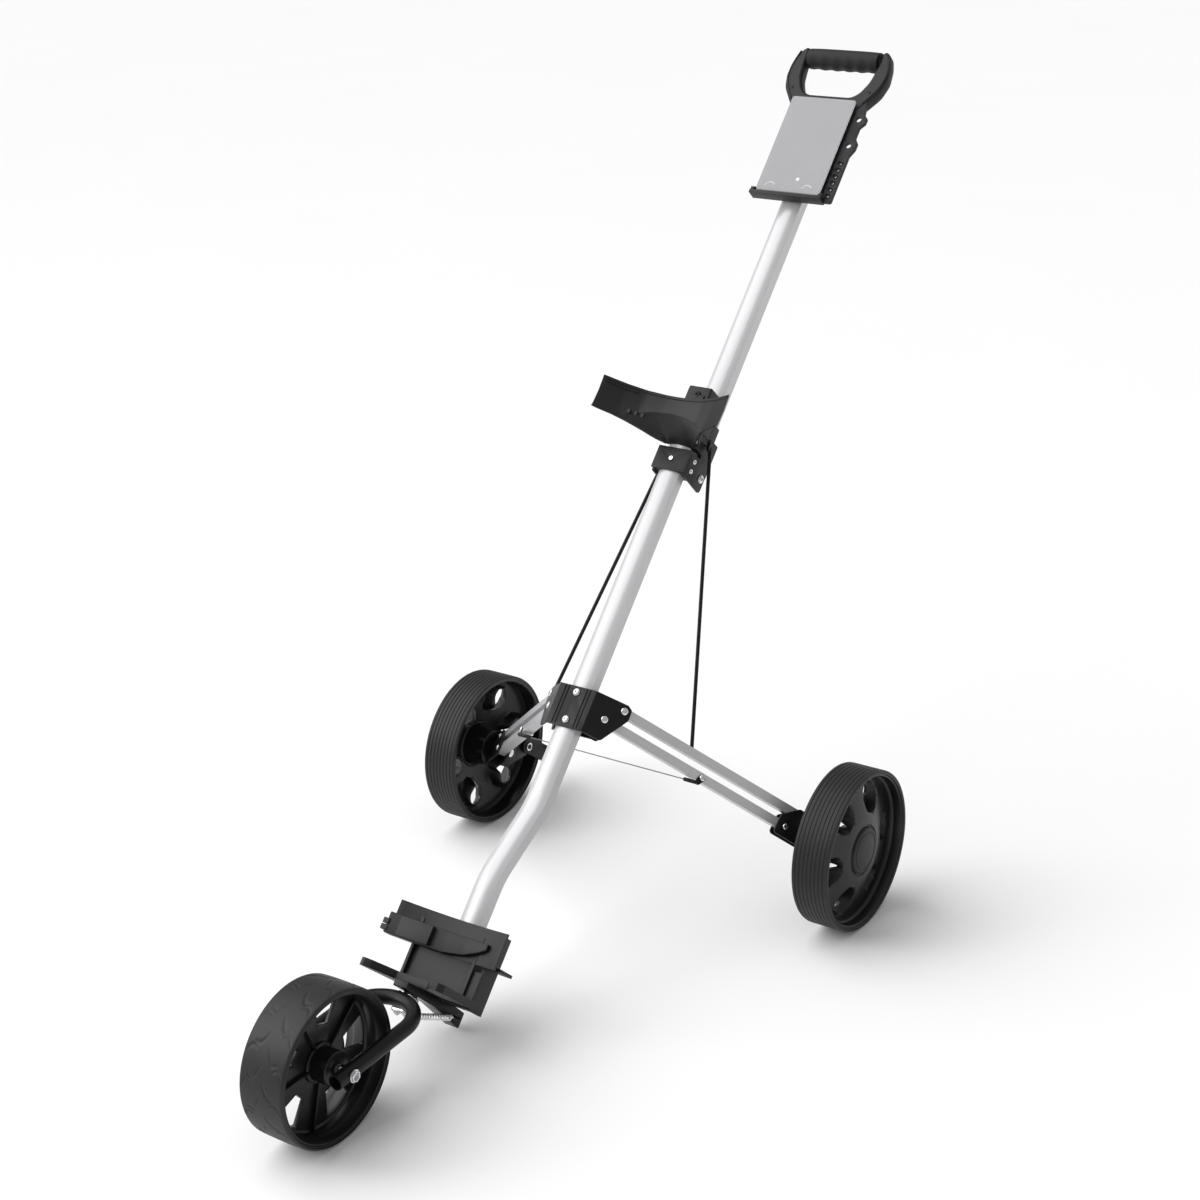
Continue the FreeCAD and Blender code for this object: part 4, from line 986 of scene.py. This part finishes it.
def teardrop(middle, reach, narrow, turn):
    """A window outline, round outward and narrowing towards the hub."""
    points = []
    for i in range(36):
        a = 2 * math.pi * i / 36
        inward = max(0.0, -math.cos(a))
        x = middle + reach * math.cos(a) * (1 + 0.55 * inward)
        y = narrow * math.sin(a) * (1 - 0.45 * inward)
        points.append((x * math.cos(turn) - y * math.sin(turn), x * math.sin(turn) + y * math.cos(turn)))
    return points


def rear_disc(steps=180):
    """The domed disc, sunk into a well round each of its six windows."""
    radii = (99.8, 97, 94, 90, 86, 82, 78, 74, 70, 66, 62, 58, 54, 50, 46, 42, 38, 35, 33.5, 32.5, 31.5, 28)
    front, back = [], []
    for radius in radii:
        outer, inner = [], []
        groove = 1.6 if 32 < radius < 34 else 0.0
        dome = float(np.interp(radius, (28, 36, 44, 56, 70, 84, 92, 100),
                               (38.6, 38.4, 37, 34, 30, 26, 23, 22))) - groove
        for i in range(steps):
            a = 2 * math.pi * i / steps
            off = math.radians((math.degrees(a) % WINDOW_PITCH) - WINDOW_PITCH / 2)
            away = math.hypot(radius * math.cos(off) - WELL_CIRCLE, radius * math.sin(off))
            t = min(1.0, max(0.0, (WELL_RADIUS - away) / 6))
            z = dome - (dome - WELL_FLOOR) * t * t * (3 - 2 * t)
            outer.append((radius * math.cos(a), radius * math.sin(a), z))
            inner.append((radius * math.cos(a), radius * math.sin(a), z - 4))
        front.append(outer)
        back.append(inner)
    disc = closed_grid(front, back, around=True)
    tools = []
    for k in range(REAR_WINDOWS):
        outline = teardrop(WELL_CIRCLE + 1, 13.5, 12, math.radians(WINDOW_PITCH * (k + 0.5)))
        tools.append(moved_mesh(slab(outline, 60, 0.01), shift(0, 0, -10)))
    return carved(disc, *tools)


class TROLLEY_OT_rear_wheels(bpy.types.Operator):
    """The two rear wheels"""
    bl_idname = "trolley.rear_wheels"
    bl_label = "Rear wheels"

    def execute(self, context):
        both_sides("tyre", rear_tyre(), WHEEL, "wheel", "tyre_tread", ["tyre"])
        barrel = lathe([(104, REAR_IN + 1), (104, 43.3), (103.4, 43.9), (102.4, 43.8), (101.8, 43.0),
                        (101.5, 41.8), (100.2, 41.2), (99.4, 40.0), (98.6, 30), (96.8, 28.6), (95.6, 27),
                        (95.2, 19.5), (97, 17), (99.2, 14), (99.6, REAR_IN + 2.2), (100.6, REAR_IN + 1.2)], 144)
        hub = lathe([(9, 3), (24.5, 3), (26, 4.5), (26, 14), (30, 30), (30.5, 37), (25, 38), (24.8, 33),
                     (9, 33)], 72)
        both_sides("rim", joined(barrel, rear_disc(), hub), WHEEL, "wheel", "wheel_moulding",
                   ["rim"])
        cap = lathe([(0, 36.5), (31.2, 36.5), (31.4, 39.2), (30.4, 40.4), (28.4, 41.2), (26.6, 41.2),
                     (25.8, 40.6), (24.8, 40.6), (24, 41.4), (18, 42.4), (9, 42.9), (0, 43.0)], 72)
        both_sides("hub_cap", cap, WHEEL, "wheel", "moulding", ["hub_cap"])
        paint("wheel_moulding", "right_wheel_bush", "left_wheel_bush", "front_wheel_bush")
        return {"FINISHED"}


LEAF_PITCH = 24.0
LEAVES = ((0.05, 0.62, 17, 6, 1.5), (0.42, 0.92, 12, -5, 1.2))
FRONT_CROWN, FRONT_SEAT = 96, 92
FRONT_SPOKES, SPOKE_PITCH = 5, 72


def leaf_depth(turn, across):
    """How deep the front tread is at a turn in degrees and a place across it from -1 to 1."""
    side = abs(across)
    offset = LEAF_PITCH / 2 if across > 0 else 0.0
    deepest = 0.0
    for start, end, slant, bow, width in LEAVES:
        if not start < side < end:
            continue
        along = (side - start) / (end - start)
        line = slant * side + bow * math.sin(math.pi * along) + offset + (0 if start < 0.3 else LEAF_PITCH / 2)
        gap = (turn - line + LEAF_PITCH / 2) % LEAF_PITCH - LEAF_PITCH / 2
        thin = width * math.sin(math.pi * along) ** 0.6
        deepest = max(deepest, math.exp(-(gap / max(thin, 0.05)) ** 2))
    return deepest


def front_tyre_mesh(steps=420, columns=45):
    """The wide front tyre: a smooth crown with leaf-shaped grooves."""
    depth = sizes().leaf_depth * 1000
    outer, inner = [], []
    for j in range(columns):
        across = -1 + 2 * j / (columns - 1)
        z = FRONT_WIDE / 2 + across * FRONT_WIDE / 2
        crown = FRONT_CROWN - 0.9 * abs(across) ** 3 - 2.6 * max(0.0, (abs(across) - 0.9) / 0.1) ** 2
        row, under = [], []
        for i in range(steps):
            a = 2 * math.pi * i / steps
            radius = crown - depth * leaf_depth(math.degrees(a), across)
            row.append((radius * math.cos(a), radius * math.sin(a), z))
            under.append((FRONT_SEAT * math.cos(a), FRONT_SEAT * math.sin(a), z))
        outer.append(row)
        inner.append(under)
    return closed_grid(outer, inner, around=True)


def front_window(turn):
    """One large window between two spokes of the front disc."""
    corners = []
    for radius, start, end in ((45, -11, 11), (78, 15, -15)):
        corners += [(radius * math.cos(math.radians(a)), radius * math.sin(math.radians(a)))
                    for a in np.linspace(start, end, 9)]
    tool = slab(rounded(corners, 7, 3), 30, 0.01)
    return moved_mesh(tool, spin("Z", turn) @ shift(0, 0, FRONT_WIDE / 2 - 15))


class TROLLEY_OT_front_wheel(bpy.types.Operator):
    """The wide front wheel"""
    bl_idname = "trolley.front_wheel"
    bl_label = "Front wheel"

    def execute(self, context):
        settle("front_tyre_look", front_tyre_mesh(), FRONT, "front_wheel", "tyre_tread",
               ["front_tyre"], 50)
        half = [(92, 33), (92, 1.4), (91.4, 0.9), (90.6, 0.9), (90.0, 1.6), (89.4, 2.6), (88.4, 2.2),
                (87.6, 2.6), (87.2, 4.0), (86.4, 13), (84.4, 15.5), (83.4, 17.5), (82.6, 28.5), (80, 30.3)]
        mirrored_half = [(radius, FRONT_WIDE - z) for radius, z in half[::-1]]
        barrel = lathe(half + mirrored_half[:-1], 144)
        disc = lathe([(20, 29.6), (30, 29.6), (40, 30.4), (82, 30.4), (82, 35.6), (40, 35.6), (30, 36.4),
                      (20, 36.4)], 96)
        windows = [front_window(18 + SPOKE_PITCH * k) for k in range(FRONT_SPOKES)]
        disc = bevelled(carved(disc, *windows), 0.6, 2, 50)
        hub = lathe([(8, 3.4), (19.4, 3.4), (20.6, 4.6), (21, 8), (21, 58), (20.6, 61.4), (19.4, 62.6),
                     (8, 62.6)], 72)
        collars = [lathe([(20.5, z), (24, z), (24.6, z + 1.2), (24.6, z + 4), (23, z + 5), (20.5, z + 5)], 60)
                   for z in (26, 35)]
        ribs = []
        for k in range(FRONT_SPOKES):
            for side in (0, 1):
                rib = rounded_block((20.5, -1.5, 24.5 + side * 9), (82, 1.5, 32 + side * 9), 0.5, 2)
                ribs.append(moved_mesh(rib, spin("Z", 54 + SPOKE_PITCH * k)))
        settle("front_rim_look", joined(barrel, disc, hub, *collars, *ribs), FRONT, "front_wheel",
               "wheel_moulding", ["front_rim"])
        return {"FINISHED"}


# ---- fork, its mount and spring ---------------------------------------------

SPRING_TOP, SPRING_FOOT, SPRING_RADIUS = (18, -30, -725), (18, -92, -740.5), 4.3
COIL_POINTS = 16


class TROLLEY_OT_fork(bpy.types.Operator):
    """The bent fork, its axle, lugs, mount and tension spring"""
    bl_idname = "trolley.fork"
    bl_label = "Front fork"

    def execute(self, context):
        paint("coated_steel", "fork_tube")
        eased("fork_mount_look", "fork_mount", "frame", "coated_steel", 0.6, 3)
        eased("fork_lugs_look", "fork_lugs", "fork", "plated", 0.4)
        paint("plated", "front_axle_spacers")
        paint("bolt_head", "fork_pin")
        shank = crossbar(56.5, 5)
        nuts = []
        for side in (1, -1):
            washer = lathe([(4.5, 0), (8, 0), (8, 1.1), (4.5, 1.1)], 32)
            nuts.append(moved_mesh(washer, shift(side * 55.6, 0, 0) @ spin("Y", 90 * side)))
            nut = hex_nut(12.2, 3.0, 4.6)
            nuts.append(moved_mesh(nut, shift(side * 56.6, 0, 0) @ spin("Y", 90 * side)))
        settle("front_axle_look", joined(shank, *nuts), FORK, "fork", "plated", ["front_axle"])
        start, end = Vector(SPRING_TOP), Vector(SPRING_FOOT)
        along = (end - start).normalized()
        across = along.cross(Vector((1, 0, 0))).normalized()
        upward = along.cross(across)
        turns, wire = sizes().spring_turns, sizes().spring_wire * 1000
        coil = SPRING_RADIUS - wire
        points = [start - along * 5, start - along * 2]
        for i in range(turns * COIL_POINTS + 1):
            t = i / (turns * COIL_POINTS)
            a = 2 * math.pi * turns * t
            points.append(start.lerp(end, t) + across * coil * math.cos(a) + upward * coil * math.sin(a))
        points += [end + along * 2, end + along * 4]
        spring = settle("fork_spring_look", rod(points, wire, 3), TUBE, None, "plated",
                        ["fork_spring"], None)
        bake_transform(spring)
        return {"FINISHED"}


# ---- brake ------------------------------------------------------------------

class TROLLEY_OT_brake(bpy.types.Operator):
    """The parking brake on the left wheel's bracket"""
    bl_idname = "trolley.brake"
    bl_label = "Parking brake"

    def execute(self, context):
        eased("brake_plate_look", "brake_plate", "left_wheel_carrier", "coated_steel", 0.5)
        eased("brake_pedal_look", "brake_pedal", "brake", "coated_steel", 0.6)
        paint("bolt_head", "brake_clip")
        return {"FINISHED"}


# ---- add-on parts -----------------------------------------------------------

PIECES = (TROLLEY_OT_stage, TROLLEY_OT_tubes, TROLLEY_OT_bag_supports, TROLLEY_OT_handle, TROLLEY_OT_legs,
          TROLLEY_OT_rear_wheels, TROLLEY_OT_front_wheel, TROLLEY_OT_fork, TROLLEY_OT_brake)


class TROLLEY_PT_panel(bpy.types.Panel):
    """Lists the trolley's settings and the operators that build it"""
    bl_idname = "TROLLEY_PT_panel"
    bl_label = "Golf trolley"
    bl_space_type = "VIEW_3D"
    bl_region_type = "UI"
    bl_category = "Trolley"

    def draw(self, context):
        for group in (context.scene.trolley_sizes, context.scene.trolley_colours):
            box = self.layout.box()
            for name in group.bl_rna.properties.keys():
                if name not in ("rna_type", "name"):
                    box.prop(group, name)
        for piece in PIECES:
            self.layout.operator(piece.bl_idname)


CLASSES = (TrolleySizes, TrolleyColours, *PIECES, TROLLEY_PT_panel)


def register():
    for item in CLASSES:
        bpy.utils.register_class(item)
    bpy.types.Scene.trolley_sizes = bpy.props.PointerProperty(type=TrolleySizes)
    bpy.types.Scene.trolley_colours = bpy.props.PointerProperty(type=TrolleyColours)


def unregister():
    del bpy.types.Scene.trolley_colours
    del bpy.types.Scene.trolley_sizes
    for item in reversed(CLASSES):
        bpy.utils.unregister_class(item)


def main():
    register()
    for piece in PIECES:
        group, name = piece.bl_idname.split(".")
        getattr(getattr(bpy.ops, group), name)()


if __name__ == "__main__":
    main()
